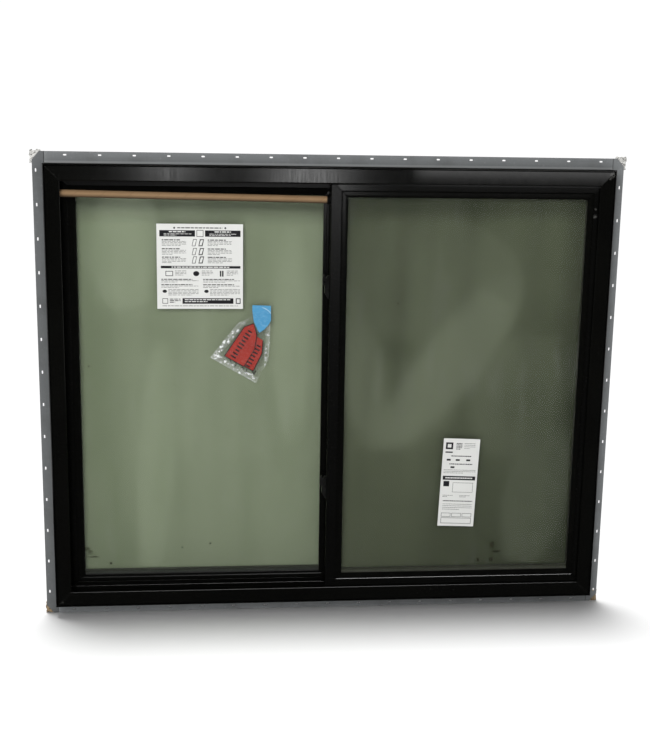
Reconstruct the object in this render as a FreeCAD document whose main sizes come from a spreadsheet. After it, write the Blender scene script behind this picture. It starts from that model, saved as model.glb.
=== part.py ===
import FreeCAD, Part
import Sketcher
import math
import os

# Horizontal sliding window with a nailing fin, seen from the room it serves.
# X runs to the right, Y from the room to the outdoors, Z up.
# The origin is on the mounting face of the sill fin, at its middle.
# Lengths are millimetres. A bar's section is drawn as (depth, reach):
# depth along Y, reach inward from the outer edge of the rectangle it frames.

DRIVING_SIZES = {
    # Main frame
    "frame_width": 1511.0,
    "frame_height": 1207.0,
    "room_depth": 38.0,
    "outdoor_depth": 35.0,
    "face_reach": 43.0,
    "face_wall": 7.0,
    "channel_floor": 24.0,
    "divider_depth": 6.0,
    "platform_reach": 57.0,
    "stop_reach": 71.0,
    "stop_wall": 6.0,
    "outer_bevel": 2.5,
    "edge_bevel": 1.2,
    "trim_groove_inset": 3.0,
    "trim_groove_width": 3.0,
    "trim_groove_depth": 8.0,
    "weep_length": 40.0,
    "weep_height": 6.0,
    "weep_depth": 5.0,
    "weep_rise": 12.0,
    "weep_inset": 220.0,
    # Nailing fin
    "fin_reach": 30.0,
    "fin_wall": 2.0,
    "tongue_reach": 8.0,
    "tongue_step": 0.6,
    "tongue_trim": 10.0,
    "kerf_gap": 0.2,
    "nail_pitch": 88.9,
    "nail_line": 21.0,
    "slot_length": 9.0,
    "slot_width": 3.8,
    "head_nail_shift": 10.0,
    "left_nail_shift": 7.0,
    "right_nail_shift": 22.0,
    "nail_margin": 20.0,
    "corner_clip_wide": 19.0,
    "corner_clip_tall": 22.0,
    "pad_width": 22.0,
    "pad_height": 30.0,
    "pad_thick": 6.0,
    # Insulating glass
    "glass_thick": 3.0,
    "glass_gap": 11.0,
    "glass_edge_gap": 4.0,
    "spacer_tuck": 0.5,
    "spacer_show": 10.0,
    # Fixed lite
    "fixed_bead_reach": 20.0,
    "fixed_bead_ledge": 11.5,
    "fixed_bead_setback": 1.0,
    "fixed_bead_step": 2.0,
    "mullion_left": 6.3,
    "mullion_right": 20.0,
    "mullion_front": 8.0,
    "mullion_stop_reach": 14.0,
    # Sliding sash
    "sash_thick": 26.5,
    "sash_front_gap": 1.5,
    "sash_face": 30.0,
    "sash_bead_reach": 15.8,
    "sash_bead_setback": 2.0,
    "sash_bead_flat": 10.0,
    "sash_bead_slope": 1.5,
    "sash_stop_wall": 4.0,
    "sash_left": 11.3,
    "sash_jamb_gap": 2.7,
    "sash_sill_gap": 11.0,
    "sash_head_gap": 9.5,
    # Interlocking hooks of the two meeting stiles
    "hook_wall": 1.8,
    "hook_leg": 2.5,
    "hook_length": 10.5,
    "sash_hook_inset": 2.3,
    "sash_hook_rise": 7.6,
    "hook_gap": 1.0,
    "hook_bite": 5.0,
    "hook_trim": 16.0,
    # Track, guide and rollers
    "track_base": 2.0,
    "track_end_gap": 0.5,
    "rib_width": 2.4,
    "rib_height": 8.5,
    "guide_wall": 2.0,
    "guide_gap": 2.5,
    "sill_guide_height": 21.0,
    "head_guide_height": 14.0,
    "wheel_radius": 9.0,
    "tread_radius": 7.0,
    "wheel_width": 7.0,
    "axle_radius": 2.0,
    "axle_length": 16.0,
    "roller_inset": 120.0,
    "pocket_gap": 1.0,
    "seat_gap": 0.2,
    # Locks on the edge of the sliding sash
    "lock_height": 62.0,
    "lock_width": 12.2,
    "lock_nose": 7.5,
    "lock_thick": 14.0,
    "lock_round": 2.0,
    "upper_lock_drop": 285.5,
    "lower_lock_rise": 295.5,
    "lever_width": 9.4,
    "lever_height": 31.4,
    "lever_thick": 8.0,
    "lever_offset": 14.8,
    "lever_rise": 21.0,
    "lever_hub_radius": 5.0,
    # Insect screen outside the sliding half
    "screen_bar": 19.0,
    "screen_thick": 8.0,
    "screen_gap": 1.0,
    "mesh_thick": 0.4,
    "mesh_groove": 1.0,
    "mesh_tuck": 4.0,
    # Shipping tube wedged in the free half of the track
    "tube_radius": 9.5,
    "tube_wall": 2.5,
    "tube_drop": 81.5,
    "tube_depth": 16.0,
    "tube_tilt": 0.85,
    "cap_radius": 11.8,
    "cap_length": 9.0,
    "wedge_gap": 0.3,
    # Sheets and the hardware bag stuck to the glass
    "paper_thick": 0.25,
    "leaflet_width": 228.6,
    "leaflet_height": 227.0,
    "leaflet_inset": 208.7,
    "leaflet_drop": 78.0,
    "rating_width": 102.5,
    "rating_height": 254.0,
    "rating_inset": 275.0,
    "rating_rise": 132.2,
    "rating_tilt": 2.3,
    "tape_width": 48.0,
    "tape_height": 32.0,
    "tape_gap": 26.7,
    "bag_width": 150.0,
    "bag_height": 182.0,
    "bag_thick": 8.0,
    "bag_gap": 22.0,
    "bag_overlap": 5.5,
}

SHEET = "Sizes"
HALF_TURN = 180
QUARTER_TURN = 90
THROUGH_ALL = 1
TILT_AXIS = FreeCAD.Vector(0, 1, 0)

doc = FreeCAD.newDocument("sliding_window")
sheet = doc.addObject("Spreadsheet::Sheet", SHEET)
for row, (alias, number) in enumerate(DRIVING_SIZES.items(), start=1):
    sheet.set(f"A{row}", alias)
    sheet.set(f"B{row}", str(number))
    sheet.setAlias(f"B{row}", alias)
doc.recompute()

# Arithmetic on sizes


class Size:
    """A length that carries its value and the sheet expression it comes from."""

    def __init__(self, value, text):
        self.value = value
        self.text = text

    @staticmethod
    def of(thing):
        if isinstance(thing, Size):
            return thing
        return Size(float(thing), f"({thing})")

    def __add__(self, other):
        other = Size.of(other)
        return Size(self.value + other.value, f"({self.text} + {other.text})")

    def __radd__(self, other):
        return Size.of(other) + self

    def __sub__(self, other):
        other = Size.of(other)
        return Size(self.value - other.value, f"({self.text} - {other.text})")

    def __rsub__(self, other):
        return Size.of(other) - self

    def __mul__(self, factor):
        return Size(self.value * factor, f"({self.text} * {factor})")

    __rmul__ = __mul__

    def __truediv__(self, divisor):
        return Size(self.value / divisor, f"({self.text} / {divisor})")

    def __neg__(self):
        return Size(-self.value, f"(-{self.text})")

    def times(self, other):
        return Size(self.value * other.value, f"({self.text} * {other.text})")

    def over(self, other):
        return Size(self.value / other.value, f"({self.text} / {other.text})")

    def whole(self):
        return Size(math.floor(self.value), f"floor({self.text})")


class SizeSheet:
    """Reads a driving size by its name, such as S.frame_width."""

    def __getattr__(self, alias):
        return Size(float(sheet.get(alias)), f"{SHEET}.{alias}")


S = SizeSheet()

# Building helpers


def bind(thing, prop, size):
    thing.setExpression(prop, Size.of(size).text)


def place(thing, x, y, z, turn=0, axis=TILT_AXIS):
    thing.Placement = FreeCAD.Placement(FreeCAD.Vector(0, 0, 0), FreeCAD.Rotation(axis, turn))
    for name, size in (("x", x), ("y", y), ("z", z)):
        bind(thing, f"Placement.Base.{name}", size)


def new_body(label):
    return doc.addObject("PartDesign::Body", label)


def new_sketch(body, name, plane):
    sketch = body.newObject("Sketcher::SketchObject", name)
    origin_plane = next(item for item in body.Origin.OriginFeatures if item.Role == plane)
    sketch.AttachmentSupport = (origin_plane, [""])
    sketch.MapMode = "FlatFace"
    return sketch


def pin_point(sketch, edge, end, x, y):
    """Ties one end of an edge to its place from the sketch's origin."""
    for kind, size in (("DistanceX", x), ("DistanceY", y)):
        size = Size.of(size)
        number = sketch.addConstraint(Sketcher.Constraint(kind, -1, 1, edge, end, size.value))
        bind(sketch, f"Constraints[{number}]", size)


def draw_loop(sketch, corners):
    """Adds a closed outline of straight edges whose corners follow the sheet."""
    corners = [(Size.of(x), Size.of(y)) for x, y in corners]
    points = [FreeCAD.Vector(x.value, y.value, 0) for x, y in corners]
    ends = points[1:] + points[:1]
    first = sketch.GeometryCount
    for start, end in zip(points, ends):
        sketch.addGeometry(Part.LineSegment(start, end), False)
    count = len(corners)
    for index in range(count):
        following = first + (index + 1) % count
        sketch.addConstraint(Sketcher.Constraint("Coincident", first + index, 2, following, 1))
    for index, (x, y) in enumerate(corners):
        pin_point(sketch, first + index, 1, x, y)


def outline(body, name, plane, *loops):
    sketch = new_sketch(body, name, plane)
    for corners in loops:
        draw_loop(sketch, corners)
    return sketch


def rectangle(x0, x1, y0, y1):
    return [(x0, y0), (x1, y0), (x1, y1), (x0, y1)]


def draw_circle(sketch, x, y, radius):
    x, y, radius = Size.of(x), Size.of(y), Size.of(radius)
    centre = FreeCAD.Vector(x.value, y.value, 0)
    circle = sketch.addGeometry(Part.Circle(centre, FreeCAD.Vector(0, 0, 1), radius.value), False)
    pin_point(sketch, circle, 3, x, y)
    number = sketch.addConstraint(Sketcher.Constraint("Radius", circle, radius.value))
    bind(sketch, f"Constraints[{number}]", radius)


def pad(body, sketch, length, both_ways=True):
    feature = body.newObject("PartDesign::Pad", sketch.Name + "_pad")
    feature.Profile = sketch
    feature.Midplane = both_ways
    bind(feature, "Length", length)
    return feature


def pocket(body, sketch, depth=None, reverse=False):
    """Cuts to a depth from the sketch, or right through both ways when no depth is given."""
    feature = body.newObject("PartDesign::Pocket", sketch.Name + "_cut")
    feature.Profile = sketch
    if depth is None:
        feature.Midplane = True
        feature.Type = THROUGH_ALL
    else:
        feature.Reversed = reverse
        bind(feature, "Length", depth)
    return feature


def cut_mitres(body, label, length, reach):
    """Cuts both ends of a bar at 45 degrees, from the outer edge inward."""
    half = length / 2
    loops = []
    for end in (-1, 1):
        outside = end * (half + reach)
        inside = end * (half - reach)
        loops.append([(outside, -reach), (inside, reach), (outside, reach)])
    pocket(body, outline(body, label + "_mitre", "XZ_Plane", *loops))


def ring_stations(left, right, bottom, top):
    """The turn, length and middle of each side of an upright rectangle."""
    across, along = (left + right) / 2, (bottom + top) / 2
    return {
        "bottom": (0, right - left, across, bottom),
        "right": (-QUARTER_TURN, top - bottom, right, along),
        "top": (HALF_TURN, right - left, across, top),
        "left": (QUARTER_TURN, top - bottom, left, along),
    }


def mitred_bar(label, station, section, reach):
    """One side of a rectangle: a section run to length, mitred and turned into place."""
    turn, length, x, z = station
    body = new_body(label)
    pad(body, outline(body, label + "_section", "YZ_Plane", section), length)
    cut_mitres(body, label, length, reach)
    place(body, x, 0, z, turn)
    return body


def plate(label, width, thick, height, x, y, z, turn=0):
    """A flat sheet: x and z are its middle, y its room side."""
    body = new_body(label)
    loop = rectangle(-width / 2, width / 2, -height / 2, height / 2)
    pad(body, outline(body, label + "_face", "XZ_Plane", loop), thick)
    place(body, x, y + thick / 2, z, turn)
    return body


parts = []

# Levels and planes that several pieces share

sill_level = S.fin_reach / 2
head_level = sill_level + S.frame_height
frame_half = S.frame_width / 2
room_face = -S.room_depth
outdoor_face = S.outdoor_depth
glass_unit = 2 * S.glass_thick + S.glass_gap
stop_face = outdoor_face - S.stop_wall
fixed_glass_face = stop_face - glass_unit
channel_face = room_face + S.face_wall
sash_front = channel_face + S.sash_front_gap
sash_back = sash_front + S.sash_thick
sash_stop_face = sash_back - S.sash_stop_wall
sash_glass_face = sash_stop_face - glass_unit
fin_back = S.fin_wall

# Main frame: one section on all four sides, with the kerf that takes the fin
# and a groove round the room face that takes a trim

groove_end = S.trim_groove_inset + S.trim_groove_width
groove_bed = room_face + S.trim_groove_depth
frame_section = [
    (room_face, S.outer_bevel),
    (room_face, S.trim_groove_inset),
    (groove_bed, S.trim_groove_inset),
    (groove_bed, groove_end),
    (room_face, groove_end),
    (room_face, S.face_reach - S.edge_bevel),
    (room_face + S.edge_bevel, S.face_reach),
    (channel_face, S.face_reach),
    (channel_face, S.channel_floor),
    (S.divider_depth, S.channel_floor),
    (S.divider_depth, S.platform_reach),
    (stop_face, S.platform_reach),
    (stop_face, S.stop_reach),
    (outdoor_face - S.edge_bevel, S.stop_reach),
    (outdoor_face, S.stop_reach - S.edge_bevel),
    (outdoor_face, S.outer_bevel),
    (outdoor_face - S.outer_bevel, 0),
    (fin_back + S.kerf_gap, 0),
    (fin_back + S.kerf_gap, S.tongue_reach + S.kerf_gap),
    (S.tongue_step - S.kerf_gap, S.tongue_reach + S.kerf_gap),
    (S.tongue_step - S.kerf_gap, 0),
    (room_face + S.outer_bevel, 0),
]
frame_sides = ring_stations(-frame_half, frame_half, sill_level, head_level)
FRAME_NAMES = {
    "bottom": "frame_sill",
    "right": "frame_right_jamb",
    "top": "frame_head",
    "left": "frame_left_jamb",
}
frame_bars = {}
for side, label in FRAME_NAMES.items():
    frame_bars[side] = mitred_bar(label, frame_sides[side], frame_section, S.stop_reach + S.edge_bevel)
    parts.append(frame_bars[side])


def cut_weeps(sill):
    """The two drain slots in the outdoor face of the sill."""
    loops = []
    for end in (-1, 1):
        middle = end * (frame_half - S.weep_inset)
        loops.append(rectangle(
            middle - S.weep_length / 2, middle + S.weep_length / 2,
            S.weep_rise, S.weep_rise + S.weep_height))
    sketch = outline(sill, "frame_sill_weeps", "XZ_Plane", *loops)
    bind(sketch, "AttachmentOffset.Base.z", -outdoor_face)
    pocket(sill, sketch, S.weep_depth, reverse=True)


cut_weeps(frame_bars["bottom"])

# Nailing fin: four strips tongued into the kerf, the side strips running past the corners


def draw_slot(sketch, x, y):
    """An upright-ended nail slot that runs along the strip."""
    x, y = Size.of(x), Size.of(y)
    radius = S.slot_width / 2
    run = (S.slot_length - S.slot_width) / 2
    normal = FreeCAD.Vector(0, 0, 1)
    centres = [(x + run, y), (x - run, y)]
    starts = (-math.pi / 2, math.pi / 2)
    arcs = []
    for (cx, cy), start in zip(centres, starts):
        circle = Part.Circle(FreeCAD.Vector(cx.value, cy.value, 0), normal, radius.value)
        arcs.append(sketch.addGeometry(Part.ArcOfCircle(circle, start, start + math.pi), False))
    right, left = arcs
    spans = []
    for level in (y + radius, y - radius):
        spans.append(sketch.addGeometry(Part.LineSegment(
            FreeCAD.Vector((x + run).value, level.value, 0),
            FreeCAD.Vector((x - run).value, level.value, 0)), False))
    upper, lower = spans
    for first, first_end, second, second_end in (
            (right, 2, upper, 1), (upper, 2, left, 1), (left, 2, lower, 2), (lower, 1, right, 1)):
        sketch.addConstraint(Sketcher.Constraint("Tangent", first, first_end, second, second_end))
    for arc, (cx, cy) in zip(arcs, centres):
        pin_point(sketch, arc, 3, cx, cy)
    number = sketch.addConstraint(Sketcher.Constraint("Radius", right, radius.value))
    bind(sketch, f"Constraints[{number}]", radius)


def fin_strip(label, station, overrun, shift):
    """A flat strip with a row of nail slots and a tongue that seats in the frame's kerf."""
    turn, frame_run, x, z = station
    body = new_body(label)
    strip_run = frame_run + 2 * overrun
    flat = rectangle(0, fin_back, -S.fin_reach, -S.kerf_gap)
    pad(body, outline(body, label + "_flat", "YZ_Plane", flat), strip_run)
    tongue = rectangle(S.tongue_step, fin_back, -S.kerf_gap, S.tongue_reach)
    pad(body, outline(body, label + "_tongue", "YZ_Plane", tongue), frame_run - 2 * S.tongue_trim)
    if Size.of(overrun).value:
        half = strip_run / 2
        edge = -S.fin_reach
        clips = []
        for end in (-1, 1):
            clips.append([
                (end * half, edge),
                (end * (half - S.corner_clip_tall), edge),
                (end * half, edge + S.corner_clip_wide),
            ])
        pocket(body, outline(body, label + "_clips", "XZ_Plane", *clips))
    first_slot = new_sketch(body, label + "_nail_slot", "XZ_Plane")
    nail_gaps = (frame_run - 2 * S.nail_margin).over(S.nail_pitch).whole()
    nail_run = S.nail_pitch.times(nail_gaps)
    draw_slot(first_slot, shift - nail_run / 2, -S.nail_line)
    slot_cut = pocket(body, first_slot)
    doc.recompute()
    row_of_slots = body.newObject("PartDesign::LinearPattern", label + "_nail_slots")
    row_of_slots.Originals = [slot_cut]
    along = next(item for item in body.Origin.OriginFeatures if item.Role == "X_Axis")
    row_of_slots.Direction = (along, [""])
    bind(row_of_slots, "Occurrences", nail_gaps + 1)
    bind(row_of_slots, "Length", nail_run)
    body.Tip = row_of_slots
    place(body, x, 0, z, turn)
    return body


parts.append(fin_strip("fin_head", frame_sides["top"], 0, -S.head_nail_shift))
parts.append(fin_strip("fin_sill", frame_sides["bottom"], 0, 0))
parts.append(fin_strip("fin_left", frame_sides["left"], S.fin_reach, -S.left_nail_shift))
parts.append(fin_strip("fin_right", frame_sides["right"], S.fin_reach, -S.right_nail_shift))


def corner_pads(label, level):
    """The pair of foam pads that close the fin's corners from behind."""
    body = new_body(label)
    loops = []
    for end in (-1, 1):
        outer = end * (frame_half + S.fin_reach)
        inner = end * (frame_half + S.fin_reach - S.pad_width)
        loops.append(rectangle(inner, outer, -S.pad_height / 2, S.pad_height / 2))
    pad(body, outline(body, label + "_faces", "XZ_Plane", *loops), S.pad_thick)
    place(body, 0, fin_back + S.pad_thick / 2, level)
    return body


parts.append(corner_pads("fin_head_corner_pads", head_level + S.fin_reach - S.pad_height / 2))
parts.append(corner_pads("fin_sill_corner_pads", sill_level - S.fin_reach + S.pad_height / 2))

# Fixed lite: mullion, beads and insulating glass in the outdoor half of the frame

fixed_left = -frame_half + S.platform_reach
fixed_right = -S.mullion_left
platform_low = sill_level + S.platform_reach
platform_high = head_level - S.platform_reach
middle_level = (sill_level + head_level) / 2


def mullion():
    """The fixed meeting stile: a box with outdoor stops on both sides and a hook to the room."""
    label = "fixed_meeting_stile"
    body = new_body(label)
    hook_front = sash_back + S.sash_hook_rise - 2 * S.hook_wall - S.hook_gap
    sash_tip_end = -S.sash_left + S.sash_hook_inset + S.hook_leg + S.hook_length
    tip_left = sash_tip_end - S.hook_bite
    leg_left = tip_left + S.hook_length
    section = [
        (-S.mullion_left, S.mullion_front),
        (leg_left, S.mullion_front),
        (leg_left, hook_front + S.hook_wall),
        (tip_left, hook_front + S.hook_wall),
        (tip_left, hook_front),
        (leg_left + S.hook_leg, hook_front),
        (leg_left + S.hook_leg, S.mullion_front),
        (S.mullion_right, S.mullion_front),
        (S.mullion_right, stop_face),
        (-S.mullion_left, stop_face),
    ]
    pad(body, outline(body, label + "_section", "XY_Plane", section), platform_high - platform_low)
    stops = rectangle(
        -S.mullion_left - S.mullion_stop_reach, S.mullion_right + S.mullion_stop_reach,
        stop_face, outdoor_face)
    clear_run = S.frame_height - 2 * S.stop_reach
    pad(body, outline(body, label + "_stops", "XY_Plane", stops), clear_run)
    place(body, 0, 0, middle_level)
    return body


parts.append(mullion())

bead_front = S.divider_depth + S.fixed_bead_setback
fixed_bead_section = [
    (bead_front, 0),
    (bead_front, S.fixed_bead_ledge),
    (bead_front + S.fixed_bead_step, S.fixed_bead_ledge),
    (bead_front + S.fixed_bead_step, S.fixed_bead_reach),
    (fixed_glass_face, S.fixed_bead_reach),
    (fixed_glass_face, 0),
]
fixed_sides = ring_stations(fixed_left, fixed_right, platform_low, platform_high)
FIXED_BEADS = {
    "bottom": "fixed_bottom_bead",
    "right": "fixed_meeting_bead",
    "top": "fixed_top_bead",
    "left": "fixed_jamb_bead",
}
for side, label in FIXED_BEADS.items():
    parts.append(mitred_bar(label, fixed_sides[side], fixed_bead_section, S.fixed_bead_reach))


def insulating_glass(prefix, left, right, bottom, top, front, bead_reach):
    """Two panes and the spacer that keeps them apart: the beads hide it, except for its foot."""
    width = right - left - 2 * S.glass_edge_gap
    height = top - bottom - 2 * S.glass_edge_gap
    x, z = (left + right) / 2, (bottom + top) / 2
    inner = plate(prefix + "_inner_pane", width, S.glass_thick, height, x, front, z)
    back = front + S.glass_thick + S.glass_gap
    outer = plate(prefix + "_outer_pane", width, S.glass_thick, height, x, back, z)
    spacer = new_body(prefix + "_spacer")
    bead_cover = bead_reach - S.glass_edge_gap
    side = bead_cover - S.spacer_tuck
    foot = bead_cover + S.spacer_show
    loops = (
        rectangle(-width / 2, width / 2, -height / 2, height / 2),
        rectangle(side - width / 2, width / 2 - side, foot - height / 2, height / 2 - side),
    )
    pad(spacer, outline(spacer, prefix + "_spacer_bars", "XZ_Plane", *loops), S.glass_gap)
    place(spacer, x, front + S.glass_thick + S.glass_gap / 2, z)
    return [inner, outer, spacer]


parts += insulating_glass(
    "fixed", fixed_left, fixed_right, platform_low, platform_high,
    fixed_glass_face, S.fixed_bead_reach)

# Sliding sash: rails and stiles around the glass, with beads on the room side

sash_x0 = -S.sash_left
sash_x1 = frame_half - S.channel_floor - S.sash_jamb_gap
sash_low = sill_level + S.channel_floor + S.sash_sill_gap
sash_high = head_level - S.channel_floor - S.sash_head_gap
sash_sight = S.sash_face + S.sash_bead_reach
sash_sides = ring_stations(sash_x0, sash_x1, sash_low, sash_high)
sash_middle = (sash_front + sash_back) / 2
sash_section = [
    (sash_front, S.edge_bevel),
    (sash_front, S.sash_face - S.edge_bevel),
    (sash_front + S.edge_bevel, S.sash_face),
    (sash_stop_face, S.sash_face),
    (sash_stop_face, sash_sight),
    (sash_back, sash_sight),
    (sash_back, 0),
    (sash_front + S.edge_bevel, 0),
]
hook_back = sash_back + S.sash_hook_rise
hook_edge = S.sash_hook_inset + S.hook_leg
meeting_section = sash_section[:6] + [
    (sash_back, hook_edge),
    (hook_back - S.hook_wall, hook_edge),
    (hook_back - S.hook_wall, hook_edge + S.hook_length),
    (hook_back, hook_edge + S.hook_length),
    (hook_back, S.sash_hook_inset),
    (sash_back, S.sash_hook_inset),
] + sash_section[6:]

parts.append(mitred_bar("sash_top_rail", sash_sides["top"], sash_section, sash_sight))
parts.append(mitred_bar("sash_pull_stile", sash_sides["right"], sash_section, sash_sight))


def meeting_stile():
    """The sash stile with the hook, trimmed short of the track and the head guide."""
    label = "sash_meeting_stile"
    body = mitred_bar(label, sash_sides["left"], meeting_section, sash_sight)
    half = (sash_high - sash_low) / 2
    loops = []
    for end in (-1, 1):
        near, far = end * (half - S.hook_trim), end * (half + S.hook_trim)
        loops.append(rectangle(near, far, sash_back, hook_back + S.hook_wall))
    pocket(body, outline(body, label + "_hook_trim", "XY_Plane", *loops))
    return body


def bottom_rail():
    """The rail that rides on two rollers, with their pockets cut from below."""
    label = "sash_bottom_rail"
    body = mitred_bar(label, sash_sides["bottom"], sash_section, sash_sight)
    half = (sash_x1 - sash_x0) / 2
    wheel_half = S.wheel_width / 2 + S.pocket_gap
    axle_half = S.axle_length / 2 + S.seat_gap
    wheel_loops, axle_loops = [], []
    for end in (-1, 1):
        middle = end * (half - S.roller_inset)
        reach = S.wheel_radius + S.pocket_gap
        wheel_loops.append(rectangle(
            middle - reach, middle + reach, sash_middle - wheel_half, sash_middle + wheel_half))
        slot = S.axle_radius + S.seat_gap
        axle_loops.append(rectangle(
            middle - slot, middle + slot, sash_middle - axle_half, sash_middle + axle_half))
    wheel_sketch = outline(body, label + "_wheel_pockets", "XY_Plane", *wheel_loops)
    pocket(body, wheel_sketch, wheel_centre_rise + S.wheel_radius + S.pocket_gap, reverse=True)
    axle_sketch = outline(body, label + "_axle_slots", "XY_Plane", *axle_loops)
    pocket(body, axle_sketch, wheel_centre_rise + S.axle_radius + S.seat_gap, reverse=True)
    return body


rib_top = sill_level + S.channel_floor + S.track_base + S.rib_height
wheel_level = rib_top + S.tread_radius + S.seat_gap
wheel_centre_rise = wheel_level - sash_low
parts.append(meeting_stile())
parts.append(bottom_rail())

sash_bead_front = sash_front + S.sash_bead_setback
sash_bead_section = [
    (sash_bead_front, 0),
    (sash_bead_front, S.sash_bead_flat),
    (sash_bead_front + S.sash_bead_slope, S.sash_bead_reach),
    (sash_glass_face, S.sash_bead_reach),
    (sash_glass_face, 0),
]
sash_glazing = (
    sash_x0 + S.sash_face, sash_x1 - S.sash_face,
    sash_low + S.sash_face, sash_high - S.sash_face)
sash_bead_sides = ring_stations(*sash_glazing)
SASH_BEADS = {
    "bottom": "sash_bottom_bead",
    "right": "sash_pull_bead",
    "top": "sash_top_bead",
    "left": "sash_meeting_bead",
}
for side, label in SASH_BEADS.items():
    parts.append(mitred_bar(label, sash_bead_sides[side], sash_bead_section, S.sash_bead_reach))
parts += insulating_glass("sash", *sash_glazing, sash_glass_face, S.sash_bead_reach)

# Track, head guide and rollers in the room-side channel

channel_run = S.frame_width - 2 * S.channel_floor - 2 * S.track_end_gap
base_front = channel_face + S.track_end_gap
base_back = S.divider_depth - S.track_end_gap
guide_front = sash_back + S.guide_gap
guide_back = guide_front + S.guide_wall


def channel_bar(label, section, z, turn):
    body = new_body(label)
    pad(body, outline(body, label + "_section", "YZ_Plane", section), channel_run)
    place(body, 0, 0, z, turn)
    return body


guide_top = S.track_base + S.sill_guide_height
track_section = [
    (base_front, 0),
    (base_back, 0),
    (base_back, S.track_base),
    (guide_back, S.track_base),
    (guide_back, guide_top),
    (guide_front, guide_top),
    (guide_front, S.track_base),
    (sash_middle + S.rib_width / 2, S.track_base),
    (sash_middle + S.rib_width / 2, S.track_base + S.rib_height),
    (sash_middle - S.rib_width / 2, S.track_base + S.rib_height),
    (sash_middle - S.rib_width / 2, S.track_base),
    (base_front, S.track_base),
]
guide_section = [
    (guide_front, 0),
    (base_back, 0),
    (base_back, S.track_base),
    (guide_back, S.track_base),
    (guide_back, S.track_base + S.head_guide_height),
    (guide_front, S.track_base + S.head_guide_height),
]
parts.append(channel_bar("sill_track", track_section, sill_level + S.channel_floor, 0))
parts.append(channel_bar("head_guide", guide_section, head_level - S.channel_floor, HALF_TURN))


def rollers():
    """Two grooved wheels on their axles, standing on the rib of the track."""
    label = "sash_rollers"
    half = (sash_x1 - sash_x0) / 2
    middle = (sash_x0 + sash_x1) / 2
    body = new_body(label)
    profile = [
        (0, -S.axle_length / 2),
        (S.axle_radius, -S.axle_length / 2),
        (S.axle_radius, -S.wheel_width / 2),
        (S.wheel_radius, -S.wheel_width / 2),
        (S.tread_radius, -S.rib_width / 2 - S.seat_gap),
        (S.tread_radius, S.rib_width / 2 + S.seat_gap),
        (S.wheel_radius, S.wheel_width / 2),
        (S.axle_radius, S.wheel_width / 2),
        (S.axle_radius, S.axle_length / 2),
        (0, S.axle_length / 2),
    ]
    sketch = outline(body, label + "_profile", "XY_Plane", profile)
    wheel = body.newObject("PartDesign::Revolution", label + "_wheel")
    wheel.Profile = sketch
    wheel.ReferenceAxis = (sketch, ["V_Axis"])
    wheel.Angle = 2 * HALF_TURN
    doc.recompute()
    pair = body.newObject("PartDesign::LinearPattern", label + "_pair")
    pair.Originals = [wheel]
    along = next(item for item in body.Origin.OriginFeatures if item.Role == "X_Axis")
    pair.Direction = (along, [""])
    pair.Occurrences = 2
    bind(pair, "Length", 2 * (half - S.roller_inset))
    body.Tip = pair
    place(body, middle - (half - S.roller_inset), sash_middle, wheel_level)
    return body


parts.append(rollers())

# Locks: a tapered case on the edge of the meeting stile, with a leaf-shaped thumb lever


def lock(prefix, level):
    case = new_body(prefix + "_case")
    half = S.lock_height / 2
    corners = [
        (0, half),
        (-S.lock_width + S.lock_nose, half),
        (-S.lock_width, half / 2),
        (-S.lock_width, -half / 2),
        (-S.lock_width + S.lock_nose + S.edge_bevel, -half),
        (0, -half),
    ]
    pad(case, outline(case, prefix + "_case_side", "XZ_Plane", corners), S.lock_thick)
    doc.recompute()
    block = case.Tip
    nose = [f"Edge{number}" for number, edge in enumerate(block.Shape.Edges, start=1)
            if edge.BoundBox.YLength > S.lock_thick.value / 2 and edge.CenterOfMass.x < -S.edge_bevel.value]
    rounding = case.newObject("PartDesign::Fillet", prefix + "_case_nose")
    rounding.Base = (block, nose)
    bind(rounding, "Radius", S.lock_round)
    case.Tip = rounding
    place(case, sash_x0, sash_middle + S.edge_bevel, level)
    case_front = sash_middle + S.edge_bevel - S.lock_thick / 2

    lever = prefix + "_lever"
    chord = Size.of(S.lever_height).value / 2
    rise = Size.of(S.lever_width).value / 2
    leaf_radius = (chord * chord + rise * rise) / (2 * rise)
    leaf_offset = leaf_radius - rise
    y_axis_turn = FreeCAD.Rotation(FreeCAD.Vector(1, 0, 0), -QUARTER_TURN)
    discs = []
    for name, shift in (("left", leaf_offset), ("right", -leaf_offset)):
        disc = doc.addObject("Part::Cylinder", f"{lever}_{name}_arc")
        disc.Radius = leaf_radius
        bind(disc, "Height", S.lever_thick)
        disc.Placement = FreeCAD.Placement(FreeCAD.Vector(shift, 0, 0), y_axis_turn)
        discs.append(disc)
    leaf = doc.addObject("Part::Common", lever + "_leaf")
    leaf.Base, leaf.Tool = discs
    hub = doc.addObject("Part::Cylinder", lever + "_hub")
    bind(hub, "Radius", S.lever_hub_radius)
    bind(hub, "Height", S.lever_thick)
    hub.Placement = FreeCAD.Placement(FreeCAD.Vector(S.lever_hub_radius.value, 0, 0), y_axis_turn)
    whole = doc.addObject("Part::Fuse", lever)
    whole.Base, whole.Tool = leaf, hub
    place(whole, sash_x0 - S.lever_offset, case_front - S.lever_thick - S.seat_gap, level + S.lever_rise)
    return [case, whole]


parts += lock("upper_lock", sash_high - S.upper_lock_drop)
parts += lock("lower_lock", sash_low + S.lower_lock_rise)

# Insect screen: four bars with a groove for the mesh, outside the sliding half

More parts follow.
